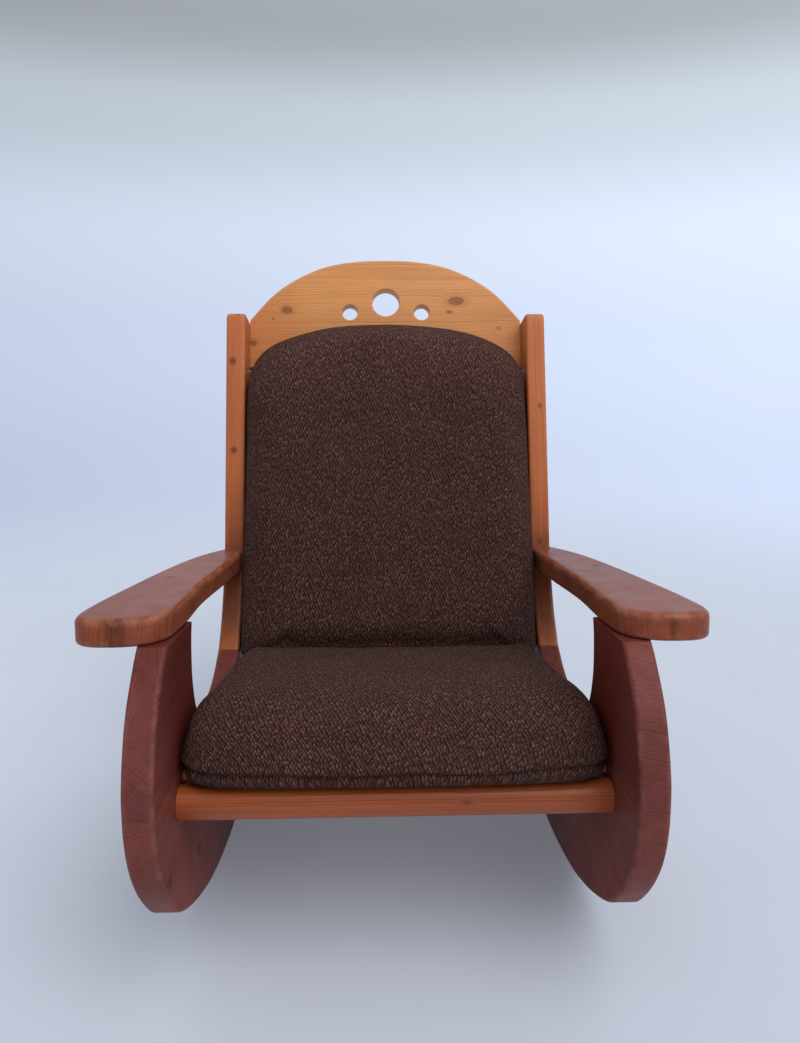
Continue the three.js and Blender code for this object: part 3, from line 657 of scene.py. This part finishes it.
MAT["plug"] = wood(
    "plug_wood", (0, 0, 1), (1, 0, 0), (250.0, 30.0), (0.240, 0.078, 0.040), (0.120, 0.034, 0.018), None, ring=2.2, rough=0.42, coat=0.08, seed=71.0, late_amount=0.8)
MAT["dowel"] = wood(
    "dowel_wood", (0, 0, 1), (1, 0, 0), (40.0, 10.0), (0.640, 0.430, 0.220), (0.480, 0.280, 0.120), None, ring=1.8, rough=0.65, coat=0.0, seed=73.0)
MAT["steel"] = metal("screw_steel")
MAT["cloth"] = cloth("tweed_cloth")


def dress(ob, mat, body="chair_frame", stands_for=()):
    ob.data.materials.clear()
    ob.data.materials.append(mat)
    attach(ob, body)
    if stands_for:
        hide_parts(*stands_for)
    return ob


# ---------------------------------------------------------------- side frames
armPlan = [(283.6, 655), (283.8, 600), (284.8, 540), (286.5, 480), (289, 425), (290.5, 370), (290, 320),
           (287.5, 270), (285.5, 222), (286, 178), (289, 143), (299, 120), (317, 106.5), (336, 101), (355, 100), (374, 102),
           (389, 109), (399, 121.5), (403.5, 141), (404.5, 168), (403.5, 205), (401, 250), (397, 300), (392.5, 355), (388, 410),
           (383, 460), (377, 512), (370, 560), (361, 605), (350, 645), (339, 676), (328, 702), (320.6, 717)]
STRETCH = math.sqrt(1 + ARM_SLOPE ** 2)
al = math.atan(ARM_SLOPE)


def screw_hole(sgn, y, z):
    """Drilled from the outer face: a wide bore for the plug and a narrow one for the shank."""
    wide, narrow = [(9.0, X_OUT, 0.2), (8.25, X_OUT - 0.7, 0.4), (8.25, X_OUT - 18, 0.0)], [(4.0, X_OUT - 18, 0.0), (4.0, X_IN, 0.0)]
    steps = [(r, sgn * x, wear_and_highlight) for r, x, wear_and_highlight in wide + narrow]
    if sgn > 0:
        steps = steps[::-1]
    return (y, z, steps, 28)


for side, sgn in (("left", -1), ("right", 1)):
    w0, w1 = (-X_OUT, -X_IN) if sgn < 0 else (X_IN, X_OUT)
    yz = lambda u, v, w: (w, u, v)
    board = prism(side + "_rocker_board_shaped", rocker_pts, rocker_flags, w0, w1, 5.0, 5.0, yz,
                  holes=[screw_hole(sgn, *rail_screws["front_rail"]), screw_hole(sgn, *rail_screws["rear_rail"])])
    dress(board, MAT[side + "_rocker"], stands_for=[side + "_rocker_board"])
    board = prism(side + "_front_upright_shaped", upright_pts, upright_flags, w0, w1, 5.0, 5.0, yz)
    dress(board, MAT[side + "_upright"], stands_for=[side + "_front_upright"])
    board = prism(side + "_back_post_shaped", post_pts, post_flags, w0, w1, 5.5, 5.5, yz,
                  holes=[screw_hole(sgn, *rail_screws["crest_upper"]), screw_hole(sgn, *rail_screws["crest_lower"])])
    dress(board, MAT[side + "_post"], stands_for=[side + "_back_post"])

    # Armrest. Its outline is drawn in its own plane; the notch follows the lean of the post.
    inner_edge = curve([(x, (y - ARM_Y0) * STRETCH) for x, y in armPlan], 4)
    notch_v = (post_front_y(430.0) - ARM_Y0) * STRETCH
    start, tip = (283.6, notch_v), (320.4, inner_edge[-1][1])
    spans = (
        ([start] + inner_edge, 1),
        ([inner_edge[-1], tip], 0),
        (line(tip, (320.4, notch_v), 12.0) + [(320.4, notch_v)], 0),
        (line((320.4, notch_v), start, 12.0) + [start], 0),
    )
    pts, flags = outline_of(*spans)
    first_notch = len(pts) - (len(spans[3][0]) - 1)
    notch = set(range(first_notch, len(pts))) | {0}

    def arm_place(u, v, w, sgn=sgn):
        return (sgn * u, ARM_Y0 + v * math.cos(al) - w * math.sin(al), ARM_Z0 + v * math.sin(al) + w * math.cos(al))

    def notch_hook(i, u, v, w, notch=notch):
        if i in notch:
            for _ in range(8):
                _, y, z = arm_place(u, v, w, 1)
                v += (post_front_y(z) - 0.5 - y)
        elif v > notch_v - 12 and u < 300:
            _, y, z = arm_place(u, v, w, 1)
            v = min(v, v + (post_front_y(z) - 1.2 - y))
        return u, v

    arm = prism(side + "_armrest_shaped", pts, flags, 0.0, ARM_T, 6.0, 9.0, arm_place, hook=notch_hook)
    dress(arm, MAT[side + "_arm"], stands_for=[side + "_armrest"])

    # Plugs, a little domed and proud of the face.
    for key, (y, z) in rail_screws.items():
        plug = revolve(f"{side}_{key}_plug_turned", [(0, -9.5), (7.6, -9.5), (8.0, -9.0), (8.0, 0.0), (7.6, 0.35), (6.0, 0.75), (3.0, 1.0), (0, 1.1)],
                       metres(sgn * X_OUT, y, z), (sgn, 0, 0), 32)
        dress(plug, MAT["plug"], stands_for=[f"{side}_{key}_plug"])

# --------------------------------------------------------------- cross members
arch = [(0, 0), (27, 0.4), (53, 1.7), (95, 7), (137, 18), (178, 36.5), (205, 52.5), (224, 66.5), (243, 84), (261, 104)]
arch = [(x, CREST_TOP - d) for x, d in arch] + [(INNER, CREST_END)]
top = curve(arch[::-1] + [(-x, s) for x, s in arch[1:]], 6)
pts, flags = outline_of(
    (line((-INNER, CREST_LOW), (INNER, CREST_LOW)) + [(INNER, CREST_LOW)], 1),
    ([(INNER, CREST_LOW), (INNER, CREST_END)], 0),
    (top, 1),
    ([(-INNER, CREST_END), (-INNER, CREST_LOW)], 0),
)


def through(r, t, rr=2.2):
    steps = [(r + rr + 1.5, 0.0, 0.0), (r + rr, 0.0, 0.4)]
    for k in range(1, 5):
        a = k / 4 * math.pi / 2
        steps.append((r + rr - rr * math.sin(a), rr - rr * math.cos(a), 0.4 + 0.6 * math.sin(2 * a)))
    return steps + [(r, rr + 1.5, 0.0)] + [(q, t - w, wear_and_highlight) for q, w, wear_and_highlight in ([(r, rr + 1.5, 0.0)] + steps[::-1])]


crest = prism("crest_rail_shaped", pts, flags, 0.0, CREST_T, 3.5, 3.5, lambda u, v, w: (u, *back_point(v, BACK_SET + w)),
              holes=[(0, HOLE_S, through(HOLE_R, CREST_T), 64), (-SMALL_X, SMALL_S, through(SMALL_R, CREST_T), 48), (SMALL_X, SMALL_S, through(SMALL_R, CREST_T), 48)])
dress(crest, MAT["crest"], stands_for=["crest_rail"])


def stick(name, section, x0, x1, place, wear_and_highlight=None):
    """A bar of constant section along x, its ends butted against the side frames."""
    return prism(name, section, [0.0] * len(section), x0, x1, 0.0, 0.0, place, point_wear_and_highlight=wear_and_highlight)


section = []
for i in range(72):
    a = i / 72 * 2 * math.pi
    c, s = math.cos(a), math.sin(a)
    k = 0.82 if c > 0 else 1.0
    y = RAIL_Y + k * RAIL_D / 2 * math.copysign(abs(c) ** (0.7 if c > 0 else 0.90), c)
    z = RAIL_Z + RAIL_D / 2 * math.copysign(abs(s) ** (0.86 if s > 0 else 0.95), s)
    section.append((y, z))
rail = stick("front_rail_shaped", section, -INNER, INNER, lambda u, v, w: (w, u, v))
dress(rail, MAT["rail"], stands_for=["front_rail"])


def rounded_box(w, h, r, n=4):
    """Counter-clockwise rounded rectangle from (0, 0) to (w, h), with wear at the corners."""
    pts, wear_and_highlight = [], []
    for cx, cy, a0 in ((w - r, r, -90), (w - r, h - r, 0), (r, h - r, 90), (r, r, 180)):
        for k in range(n + 1):
            a = math.radians(a0 + 90 * k / n)
            pts.append((cx + r * math.cos(a), cy + r * math.sin(a)))
            wear_and_highlight.append(0.5 + 0.5 * math.sin(math.pi * k / n))
    return pts, wear_and_highlight


pts, wear_and_highlight = rounded_box(28.0, 56.0, 3.0)
rear = stick("rear_rail_shaped", [(638 + u, 146 + v) for u, v in pts], -INNER, INNER, lambda u, v, w: (w, u, v), wear_and_highlight)
dress(rear, MAT["rail"], stands_for=["rear_rail"])

pts, wear_and_highlight = rounded_box(SLAT_W, SLAT_T, 2.6)
sa = math.atan(SEAT_SLOPE)
for i in range(6):
    def seat_place(u, v, w, i=i):
        run, up = i * SEAT_PITCH + u, v - SLAT_T
        return (w, SEAT_Y0 + run * math.cos(sa) - up * math.sin(sa), SEAT_Z0 + run * math.sin(sa) + up * math.cos(sa))
    ob = stick(f"seat_slat_{i + 1}_shaped", pts, -INNER, INNER, seat_place, wear_and_highlight)
    dress(ob, MAT["slat"], stands_for=[f"seat_slat_{i + 1}"])

    def back_place(u, v, w, i=i):
        return (w, *back_point(BACK_FIRST + i * BACK_PITCH - SLAT_W / 2 + u, BACK_SET + SLAT_T - v))
    ob = stick(f"back_slat_{i + 1}_shaped", pts, -INNER, INNER, back_place, wear_and_highlight)
    dress(ob, MAT["slat"], stands_for=[f"back_slat_{i + 1}"])

seat_run = 5 * SEAT_PITCH + SLAT_W
for side, sgn in (("left", -1), ("right", 1)):
    pts, wear_and_highlight = rounded_box(24.0, 32.0, 2.5)
    x0 = -INNER if sgn < 0 else INNER - 24

    def bearer_place(u, v, w, x0=x0):
        run, up = w, -SLAT_T - GAP - 32 + v
        return (x0 + u, SEAT_Y0 + run * math.cos(sa) - up * math.sin(sa), SEAT_Z0 + run * math.sin(sa) + up * math.cos(sa))
    bearer = prism(side + "_seat_bearer_shaped", pts, [1.0] * len(pts), 10.0, seat_run - 2, 1.2, 1.2, bearer_place, point_wear_and_highlight=wear_and_highlight, extra=0.8)
    dress(bearer, MAT["cleat"], stands_for=[side + "_seat_bearer"])
    pts, wear_and_highlight = rounded_box(24.0, 22.0, 2.5)

    def cleat_place(u, v, w, x0=x0):
        return (x0 + u, *back_point(w, BACK_SET + SLAT_T + GAP + v))
    cleat = prism(side + "_back_cleat_shaped", pts, [1.0] * len(pts), BACK_FIRST - SLAT_W / 2, CREST_LOW - 4, 1.2, 1.2, cleat_place, point_wear_and_highlight=wear_and_highlight, extra=0.8)
    dress(cleat, MAT["cleat"], stands_for=[side + "_back_cleat"])

# ------------------------------------------------------------------- cushions


def sample(line_pts, t):
    """A point at share t of the line's length."""
    p = np.array(line_pts, float)
    d = np.r_[0, np.cumsum(np.linalg.norm(np.diff(p, axis=0), axis=1))]
    return np.array([np.interp(t * d[-1], d, p[:, 0]), np.interp(t * d[-1], d, p[:, 1])])


def pillow_mesh(name, outline, w_rings, place):
    """Closed form from an outline and rings of (inset, w)."""
    bm = bmesh.new()
    loops = []
    flags = [1.0] * len(outline)
    for d, w in w_rings:
        loops.append([bm.verts.new(metres(*place(u, v, w))) for u, v in inset_outline(outline, flags, d)])
    n = len(outline)
    for a, b in zip(loops, loops[1:]):
        for i in range(n):
            j = (i + 1) % n
            bm.faces.new([a[i], a[j], b[j], b[i]])
    for loop, (d, w) in ((loops[0], w_rings[0]), (loops[-1], w_rings[-1])):
        flat = [Vector((u, v, 0)) for u, v in inset_outline(outline, flags, d)]
        for tri in tessellate_polygon([flat]):
            bm.faces.new([loop[k] for k in tri])
    return finish_mesh(bm, name)


def apply_all(ob):
    """The object's modifiers become its mesh."""
    dg = bpy.context.evaluated_depsgraph_get()
    me = bpy.data.meshes.new_from_object(ob.evaluated_get(dg))
    ob.modifiers.clear()
    old = ob.data
    ob.data = me
    bpy.data.meshes.remove(old)


def coords(ob):
    co = np.empty(len(ob.data.vertices) * 3)
    ob.data.vertices.foreach_get("co", co)
    return co.reshape(-1, 3)


def set_coords(ob, co):
    ob.data.vertices.foreach_set("co", np.asarray(co, float).ravel())
    ob.data.update()


def remesh(ob, voxel):
    m = ob.modifiers.new("remesh", "REMESH")
    m.mode, m.voxel_size, m.use_smooth_shade = "VOXEL", voxel, True
    apply_all(ob)


def relax(ob, rounds=2):
    m = ob.modifiers.new("smooth", "SMOOTH")
    m.iterations, m.factor = rounds, 0.5
    apply_all(ob)


def inflate(ob, cap, pressure=4.0, frames=18, limit=None):
    """Cloth simulation under pressure; no point moves further than cap, and limit() keeps it off its neighbours."""
    start, first = coords(ob).copy(), normals(ob).copy()
    m = ob.modifiers.new("cloth", "CLOTH")
    s = m.settings
    s.quality = 4
    s.mass = 0.25
    s.tension_stiffness = s.compression_stiffness = 18.0
    s.shear_stiffness = 8.0
    s.bending_stiffness = 0.8
    s.use_pressure = True
    s.uniform_pressure_force = pressure
    s.effector_weights.gravity = 0.0
    m.collision_settings.use_collision = False
    m.collision_settings.use_self_collision = False
    m.point_cache.frame_start, m.point_cache.frame_end = 1, frames
    SCENE.frame_start, SCENE.frame_end = 1, frames
    for f in range(1, frames + 1):
        SCENE.frame_set(f)
    apply_all(ob)
    SCENE.frame_set(1)
    now = coords(ob)
    d = now - start
    out = np.einsum("ij,ij->i", d, first)
    along = d - first * out[:, None]
    # the filling holds the cover out to its cut size: it may swell by cap, but barely draw in
    out = np.where(out > 0, cap * np.tanh(out / cap), 0.0016 * np.tanh(out / 0.0016))
    size = np.linalg.norm(along, axis=1)
    k = np.minimum(1.0, 0.004 / np.maximum(size, 1e-9))
    now = start + first * out[:, None] + along * k[:, None]
    if limit is not None:
        now = limit(now)
    set_coords(ob, now)


def set_attr(ob, name, kind, data):
    at = ob.data.attributes.get(name) or ob.data.attributes.new(name, kind, "POINT")
    at.data.foreach_set("vector" if kind == "FLOAT_VECTOR" else "value", np.asarray(data, np.float32).ravel())


def normals(ob):
    nrm = np.empty(len(ob.data.vertices) * 3)
    ob.data.vertices.foreach_get("normal", nrm)
    return nrm.reshape(-1, 3)


def noise3(p, scale, seed=0):
    """Smooth, repeatable wander from a few sines, about -1 to 1."""
    rng = np.random.RandomState(seed)
    total = np.zeros(len(p))
    for _ in range(9):
        k = rng.normal(size=3) * scale
        total += np.sin(p @ k + rng.uniform(0, 2 * math.pi))
    return total / 4.0


# --- seat cushion
def slat_top(y):
    return SEAT_Z0 + 1.0 + SEAT_SLOPE * (y - SEAT_Y0)


seat_top_line = [(60, 322), (75, 338), (92, 351), (115, 362), (145, 370), (180, 373.5), (220, 371), (293, 356), (368, 338), (453, 314), (545, 284), (595, 273), (640, 264)]
seat_bottom_line = [(60, 303), (75, 297), (92, 291), (113, 288.5), (128, 290), (142, slat_top(142)), (200, slat_top(200)), (400, slat_top(400)), (640, slat_top(640))]
st, sb = np.array(curve(seat_top_line, 6)), np.array(curve(seat_bottom_line, 3))


def seat_outline():
    """Plan of the seat cushion: full sides that pull in towards the corners."""
    half = [(0, 74), (70, 74.5), (135, 76), (190, 79), (228, 83), (252, 89), (267, 97.5), (276, 109), (280, 126), (281, 150), (281, 220), (281, 300), (281, 400), (281, 480), (280.5, 560), (279, 605), (269, 626), (246, 634), (180, 636), (90, 637), (0, 637)]
    right = curve(half, 3)
    left = [(-x, y) for x, y in right[::-1]]
    return (right + left[1:-1])


def seat_place(u, v, w):
    lo = np.interp(v, sb[:, 0], sb[:, 1])
    hi = np.interp(v, st[:, 0], st[:, 1])
    crown = 1 - (abs(u) / 275.0) ** 2.6
    fade = min(1.0, max(0.0, (v - 60) / 120)) * min(1.0, max(0.0, (520 - v) / 240))
    hi = hi - 5.0 * (1 - crown) * fade + 17.0 * (1 - crown) * min(1.0, max(0.0, (v - 400) / 130))
    return (u, v, lo + w * (hi - lo))


rings = [(34, 0.0), (16, 0.004), (7, 0.035), (2, 0.11), (0, 0.22), (0.3, 0.36), (1.5, 0.50), (3.5, 0.65), (7, 0.78), (12, 0.88), (20, 0.95), (33, 0.988), (53, 0.999), (80, 1.0)]
seat = pillow_mesh("seat_cushion_filled", seat_outline(), rings, seat_place)
remesh(seat, 0.006)
relax(seat, 3)


def seat_limit(co):
    y = co[:, 1] * 1000 + Y_SHIFT
    floor_z = (SEAT_Z0 + 0.6 + SEAT_SLOPE * (y - SEAT_Y0)) / 1000
    # forward of the slats the underside droops over the rail
    droop = np.clip((136 - y) / 14, 0, 1) * 0.011 * np.clip((0.272 - np.abs(co[:, 0])) / 0.07, 0, 1)
    floor_z = floor_z - droop
    rail_top = (RAIL_Z + np.sqrt(np.clip((RAIL_D / 2 + 1.5) ** 2 - (y - RAIL_Y) ** 2, 0, None))) / 1000
    near = np.abs(y - RAIL_Y) < RAIL_D / 2 + 1.4
    floor_z = np.where(near, np.maximum(floor_z, rail_top), floor_z)
    co[:, 2] = np.maximum(co[:, 2], floor_z)
    side = 0.2812
    over = np.abs(co[:, 0]) > side
    co[over, 0] = np.sign(co[over, 0]) * side
    co[:, 1] = np.maximum(co[:, 1], -0.4185)
    return co


inflate(seat, 0.0085, limit=seat_limit)
m = seat.modifiers.new("fine", "SUBSURF")
m.levels = m.render_levels = 1
apply_all(seat)
co = seat_limit(coords(seat))
set_coords(seat, co)
co, nr = coords(seat), normals(seat)
y_mm = co[:, 1] * 1000 + Y_SHIFT
# height of the seam above the underside, all round the edge
low = np.interp(y_mm, sb[:, 0], sb[:, 1]) / 1000
rise = 0.0215 + 0.010 * np.clip((np.abs(co[:, 0]) - 0.12) / 0.16, 0, 1) ** 1.5
rise = rise + 0.0015 * np.sin(co[:, 0] * 37 + 0.6)
dz = co[:, 2] - (low + rise)
edge = np.clip(np.maximum(np.maximum((np.abs(co[:, 0]) - 0.235) / 0.02, (118 - y_mm) / 10), (y_mm - 612) / 8), 0, 1)
steep = np.clip(1 - np.abs(nr[:, 2]) * 0.6, 0, 1) * edge
push = -0.0052 * np.exp(-((dz + 0.0020) / 0.0032) ** 2) + 0.0022 * np.exp(-((dz - 0.0045) / 0.0042) ** 2) - 0.0030 * np.clip(-dz / 0.006, 0, 1)
co = co + nr * (push * steep)[:, None]
# a sat-on hollow, and slow unevenness
hollow = 0.0045 * np.exp(-((co[:, 0] - 0.01) / 0.15) ** 2 - ((y_mm / 1000 - 0.36) / 0.13) ** 2)
topside = np.clip(nr[:, 2], 0, 1)
co[:, 2] -= hollow * topside
co = co + nr * (0.0011 * noise3(co, 26, 3) * np.clip(nr[:, 2] + 0.6, 0, 1))[:, None]
# short gathers that run into the front seam
gather = np.sin(co[:, 0] * 210 + 2.2 * noise3(co * [1, 0, 0], 30, 7)) * np.exp(-(dz / 0.011) ** 2) * steep
co = co + nr * (0.0006 * gather)[:, None]
set_coords(seat, seat_limit(co))
# painted shadow along the seam's crease, under the overhanging top panel
seam_shadow = np.exp(-((dz + 0.0012) / 0.0021) ** 2) * steep
set_attr(seat, "seam", "FLOAT", seam_shadow)
slope_off = co[:, 2] - np.interp(y_mm, st[:, 0], st[:, 1]) / 1000
wu = co[:, 0] * (1 + np.clip(-slope_off, 0, 0.12) / 0.29)
ty = y_mm / 1000
wv = ty - 0.30
front_wrap = np.clip((0.125 - ty), 0, 1)
wv = wv - np.clip(0.374 - co[:, 2], 0, 0.1) * np.clip((0.16 - ty) / 0.06, 0, 1)
set_attr(seat, "weave", "FLOAT_VECTOR", np.c_[wu, wv, np.zeros(len(wu))])
dress(seat, MAT["cloth"], "seat_pad", ["seat_cushion"])

# --- back cushion
back_rear = curve([(643, 259), (652, 290), (700, 402), (744, 500), (784, 592), (819, 686), (846, 768), (868, 838), (876, 870)], 6)
back_front = curve([(546, 274), (555, 303), (598, 404), (637, 500), (680, 596), (721, 690), (760, 772), (794, 842), (806, 870)], 6)
HB = 640.0   # height of the outline's own frame


def back_outline():
    half = [(0, -6), (120, -6), (235, -6), (269, -5), (278, 0), (280, 11), (280, 60), (279.5, 120), (279, 220), (279, 320), (279, 400), (278.5, 450), (278.5, 497), (277, 530),
            (271, 559), (258, 583), (236, 604), (202, 621), (154, 635.5), (98, 645), (45, 649.5), (0, 651)]
    right = curve(half, 3)
    left = [(-x, y) for x, y in right[::-1]]
    return right + left[1:-1]


def back_place(u, v, w):
    t = max(0.0, v / HB)
    r, f = sample(back_rear, min(1.0, t)), sample(back_front, min(1.0, t))
    if t > 1.0:
        rise = np.array((sinR, cosR)) * (t - 1.0) * HB
        r, f = r + rise, f + rise
        t = 1.0
    crown = 10.0 * (1 - min(1.0, abs(u) / 262.0) ** 2.2) * math.sin(math.pi * min(1, max(0, t)) ** 0.9)
    d = (f - r)
    size = np.linalg.norm(d)
    q = r + d * w + d / size * crown * max(0.0, w) ** 2
    return (u, q[0], q[1])


rings = [(40, 0.0), (22, 0.01), (10, 0.05), (3, 0.14), (0, 0.30), (0, 0.58), (1.5, 0.70), (5, 0.80), (11, 0.885), (20, 0.945), (33, 0.982), (50, 0.997), (70, 1.0)]
back = pillow_mesh("back_cushion_filled", back_outline(), rings, back_place)
remesh(back, 0.006)
relax(back, 3)

slat_n = np.array((0.0, cosR, -sinR))      # towards the rear
slat_at = np.array(metres(0, *back_point(0, BACK_SET - 0.8)))
post_at = np.array(metres(0, *back_point(0, 0.0)))


def back_limit(co):
    depth = (co - slat_at) @ slat_n
    co = co - np.outer(np.maximum(depth, 0), slat_n)
    # between the posts the sides stay inside their faces; in front of them they may bulge
    behind = (co - post_at) @ slat_n
    side = 0.2808 + 0.004 * np.clip(-(behind + 0.004) / 0.012, 0, 1)
    over = np.abs(co[:, 0]) > side
    co[over, 0] = np.sign(co[over, 0]) * side[over]
    y = co[:, 1] * 1000 + Y_SHIFT
    low = np.where(co[:, 2] < 0.40)[0]
    for i in low:
        hit = seat_tree.ray_cast(Vector((co[i, 0], co[i, 1], 0.6)), Vector((0, 0, -1)))[0]
        if hit is not None and co[i, 2] < hit.z + 0.0005:
            co[i, 2] = hit.z + 0.0005
    co[:, 2] = np.minimum(co[:, 2], 0.8855)
    return co


seat_tree = BVHTree.FromPolygons([tuple(q) for q in coords(seat)], [tuple(f.vertices) for f in seat.data.polygons])
inflate(back, 0.016, limit=back_limit)
m = back.modifiers.new("fine", "SUBSURF")
m.levels = m.render_levels = 1
apply_all(back)
co, nr = coords(back), normals(back)
y_mm, z_mm = co[:, 1] * 1000 + Y_SHIFT, co[:, 2] * 1000
# share of the thickness, rear 0 to front 1
fr, rr = np.array(back_front), np.array(back_rear)
yf, yr = np.interp(z_mm, fr[:, 1], fr[:, 0]), np.interp(z_mm, rr[:, 1], rr[:, 0])
share = np.clip((yr - y_mm) / (yr - yf), -0.1, 1.2)
height = (z_mm - 285) / 580
outer = np.clip(np.maximum(np.maximum((np.abs(co[:, 0]) - 0.225) / 0.03, (z_mm - 800) / 25), (308 - z_mm) / 14), 0, 1)
facing = np.clip(1 - np.abs(nr @ slat_n) * 0.8, 0, 1) * outer
ds = (share - 0.40) * 0.095
push = -0.0042 * np.exp(-(ds / 0.0030) ** 2) + 0.0012 * np.exp(-((np.abs(ds) - 0.006) / 0.0035) ** 2)
co = co + nr * (push * facing)[:, None]
co = co + nr * (0.0016 * noise3(co, 17, 11) * np.clip(-(nr @ slat_n) + 0.5, 0, 1))[:, None]
set_coords(back, back_limit(co))
# painted shadow along the seam's crease
set_attr(back, "seam", "FLOAT", np.exp(-(ds / 0.0020) ** 2) * facing)
s_up = (co - post_at) @ np.array(UPB)
behind = np.clip((1 - share), 0, 1) * 0.10
wu = co[:, 0] * (1 + behind / 0.28)
wv = s_up + (height - 0.5) * 2 * behind
set_attr(back, "weave", "FLOAT_VECTOR", np.c_[wu + 0.31, wv, np.zeros(len(wu))])
dress(back, MAT["cloth"], "back_pad", ["back_cushion"])
for ob in (seat, back):
    ob.data.polygons.foreach_set("use_smooth", [True] * len(ob.data.polygons))

# ------------------------------------------------- pieces kept from the CAD
for node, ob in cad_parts.items():
    if not ob.hide_render:
        ob.data.materials.clear()
        ob.data.materials.append(MAT["steel"] if node.endswith("_screw") else MAT["dowel"])

# ------------------------------------------------------------- floor and light


def floor_material():
    n = Nodes("pale_floor")
    p = n.object_coords()
    away = n.v("LENGTH", n.v("MULTIPLY", p, (1.0, 1.0, 0.0)))
    grain = n.noise(n.v("SCALE", p, scale=3.0), 1.0, 4.0, 0.6)
    n.put(n.b.inputs["Base Color"], n.mix(grain, (0.40, 0.43, 0.49), (0.44, 0.47, 0.53)))
    # the floor also glows faintly: painted light that lightens the chair's shadow on it
    n.b.inputs["Emission Color"].default_value = (0.80, 0.86, 1.0, 1.0)
    n.b.inputs["Emission Strength"].default_value = 0.135
    n.b.inputs["Roughness"].default_value = 0.9
    n.b.inputs["Specular IOR Level"].default_value = 0.1
    n.put(n.b.inputs["Alpha"], n.step(away, 3.6, 1.3))
    return n.mat


bm = bmesh.new()
bmesh.ops.create_circle(bm, cap_ends=True, radius=4.0, segments=128)
me = bpy.data.meshes.new("floor")
bm.to_mesh(me)
bm.free()
floor = bpy.data.objects.new("floor", me)
SCENE.collection.objects.link(floor)
floor.location.z = -0.0005
me.materials.append(floor_material())

world = bpy.data.worlds.new("studio")
SCENE.world = world
world.use_nodes = True
wt = world.node_tree
wt.nodes.clear()
wo = wt.nodes.new("ShaderNodeOutputWorld")
bg = wt.nodes.new("ShaderNodeBackground")
tc = wt.nodes.new("ShaderNodeTexCoord")
sep = wt.nodes.new("ShaderNodeSeparateXYZ")
ramp = wt.nodes.new("ShaderNodeValToRGB")
mr = wt.nodes.new("ShaderNodeMapRange")
wt.links.new(tc.outputs["Generated"], sep.inputs[0])
wt.links.new(sep.outputs[2], mr.inputs[0])
mr.inputs[1].default_value, mr.inputs[2].default_value = -1.0, 1.0
wt.links.new(mr.outputs[0], ramp.inputs[0])
ramp.color_ramp.interpolation = "EASE"
stops = [(0.0, (0.50, 0.55, 0.68)), (0.42, (0.52, 0.59, 0.76)), (0.50, (0.56, 0.64, 0.81)), (0.56, (0.61, 0.68, 0.82)), (0.62, (0.50, 0.56, 0.64)), (0.665, (0.335, 0.365, 0.395)), (0.74, (0.52, 0.56, 0.62)), (1.0, (0.86, 0.90, 0.96))]
el = ramp.color_ramp.elements
while len(el) > 1:
    el.remove(el[0])
el[0].position, el[0].color = stops[0][0], (*stops[0][1], 1)
for pos, col in stops[1:]:
    e = el.new(pos)
    e.color = (*col, 1)
side_mr = wt.nodes.new("ShaderNodeMapRange")
wt.links.new(sep.outputs[0], side_mr.inputs[0])
side_mr.inputs[1].default_value, side_mr.inputs[2].default_value = -0.45, 0.45
side_mr.inputs[3].default_value, side_mr.inputs[4].default_value = 0.98, 1.30
# the room in front of the chair is dimmer than the pale wall behind it, in reflections only
front_mr = wt.nodes.new("ShaderNodeMapRange")
wt.links.new(sep.outputs[1], front_mr.inputs[0])
front_mr.inputs[1].default_value, front_mr.inputs[2].default_value = -0.5, 0.6
front_mr.inputs[3].default_value, front_mr.inputs[4].default_value = 0.22, 0.85
seen = wt.nodes.new("ShaderNodeLightPath")
both = wt.nodes.new("ShaderNodeMix")
both.data_type = "FLOAT"
wt.links.new(seen.outputs["Is Glossy Ray"], both.inputs[0])
wt.links.new(front_mr.outputs[0], both.inputs[3])
both.inputs[2].default_value = 1.0
times = wt.nodes.new("ShaderNodeMath")
times.operation = "MULTIPLY"
wt.links.new(side_mr.outputs[0], times.inputs[0])
wt.links.new(both.outputs[0], times.inputs[1])
scale = wt.nodes.new("ShaderNodeVectorMath")
scale.operation = "SCALE"
wt.links.new(ramp.outputs[0], scale.inputs[0])
wt.links.new(times.outputs[0], scale.inputs["Scale"])
wt.links.new(scale.outputs[0], bg.inputs[0])
bg.inputs[1].default_value = 1.0
wt.links.new(bg.outputs[0], wo.inputs[0])


def sun(name, frm, power, spread, colour):
    li = bpy.data.lights.new(name, "SUN")
    li.energy, li.angle, li.color = power, math.radians(spread), colour
    ob = bpy.data.objects.new(name, li)
    ob.rotation_mode = "QUATERNION"
    ob.rotation_quaternion = (-Vector(frm)).to_track_quat("-Z", "Y")
    SCENE.collection.objects.link(ob)
    return ob


sun("key", (0.40, -0.55, 1.0), 1.55, 50.0, (1.0, 0.98, 0.95))

SCENE.view_settings.view_transform = "Standard"
SCENE.view_settings.look = "None"
SCENE.view_settings.exposure = 0.0
SCENE.view_settings.gamma = 1.0

# --------------------------------------------------------------------- camera
cam = bpy.data.cameras.new("camera")
cam.lens, cam.sensor_width, cam.sensor_fit = 27.27, 36.0, "AUTO"
cam.clip_start, cam.clip_end = 0.01, 100.0
cam_ob = bpy.data.objects.new("camera", cam)
SCENE.collection.objects.link(cam_ob)
yaw, pitch = math.radians(1.85), math.radians(13.0)
aim = Vector((math.sin(yaw) * math.cos(pitch), math.cos(yaw) * math.cos(pitch), -math.sin(pitch)))
cam_ob.location = (-0.0255, -1.3059, 0.8505)
cam_ob.rotation_mode = "QUATERNION"
cam_ob.rotation_quaternion = aim.to_track_quat("-Z", "Y")
SCENE.camera = cam_ob

bpy.context.view_layer.update()
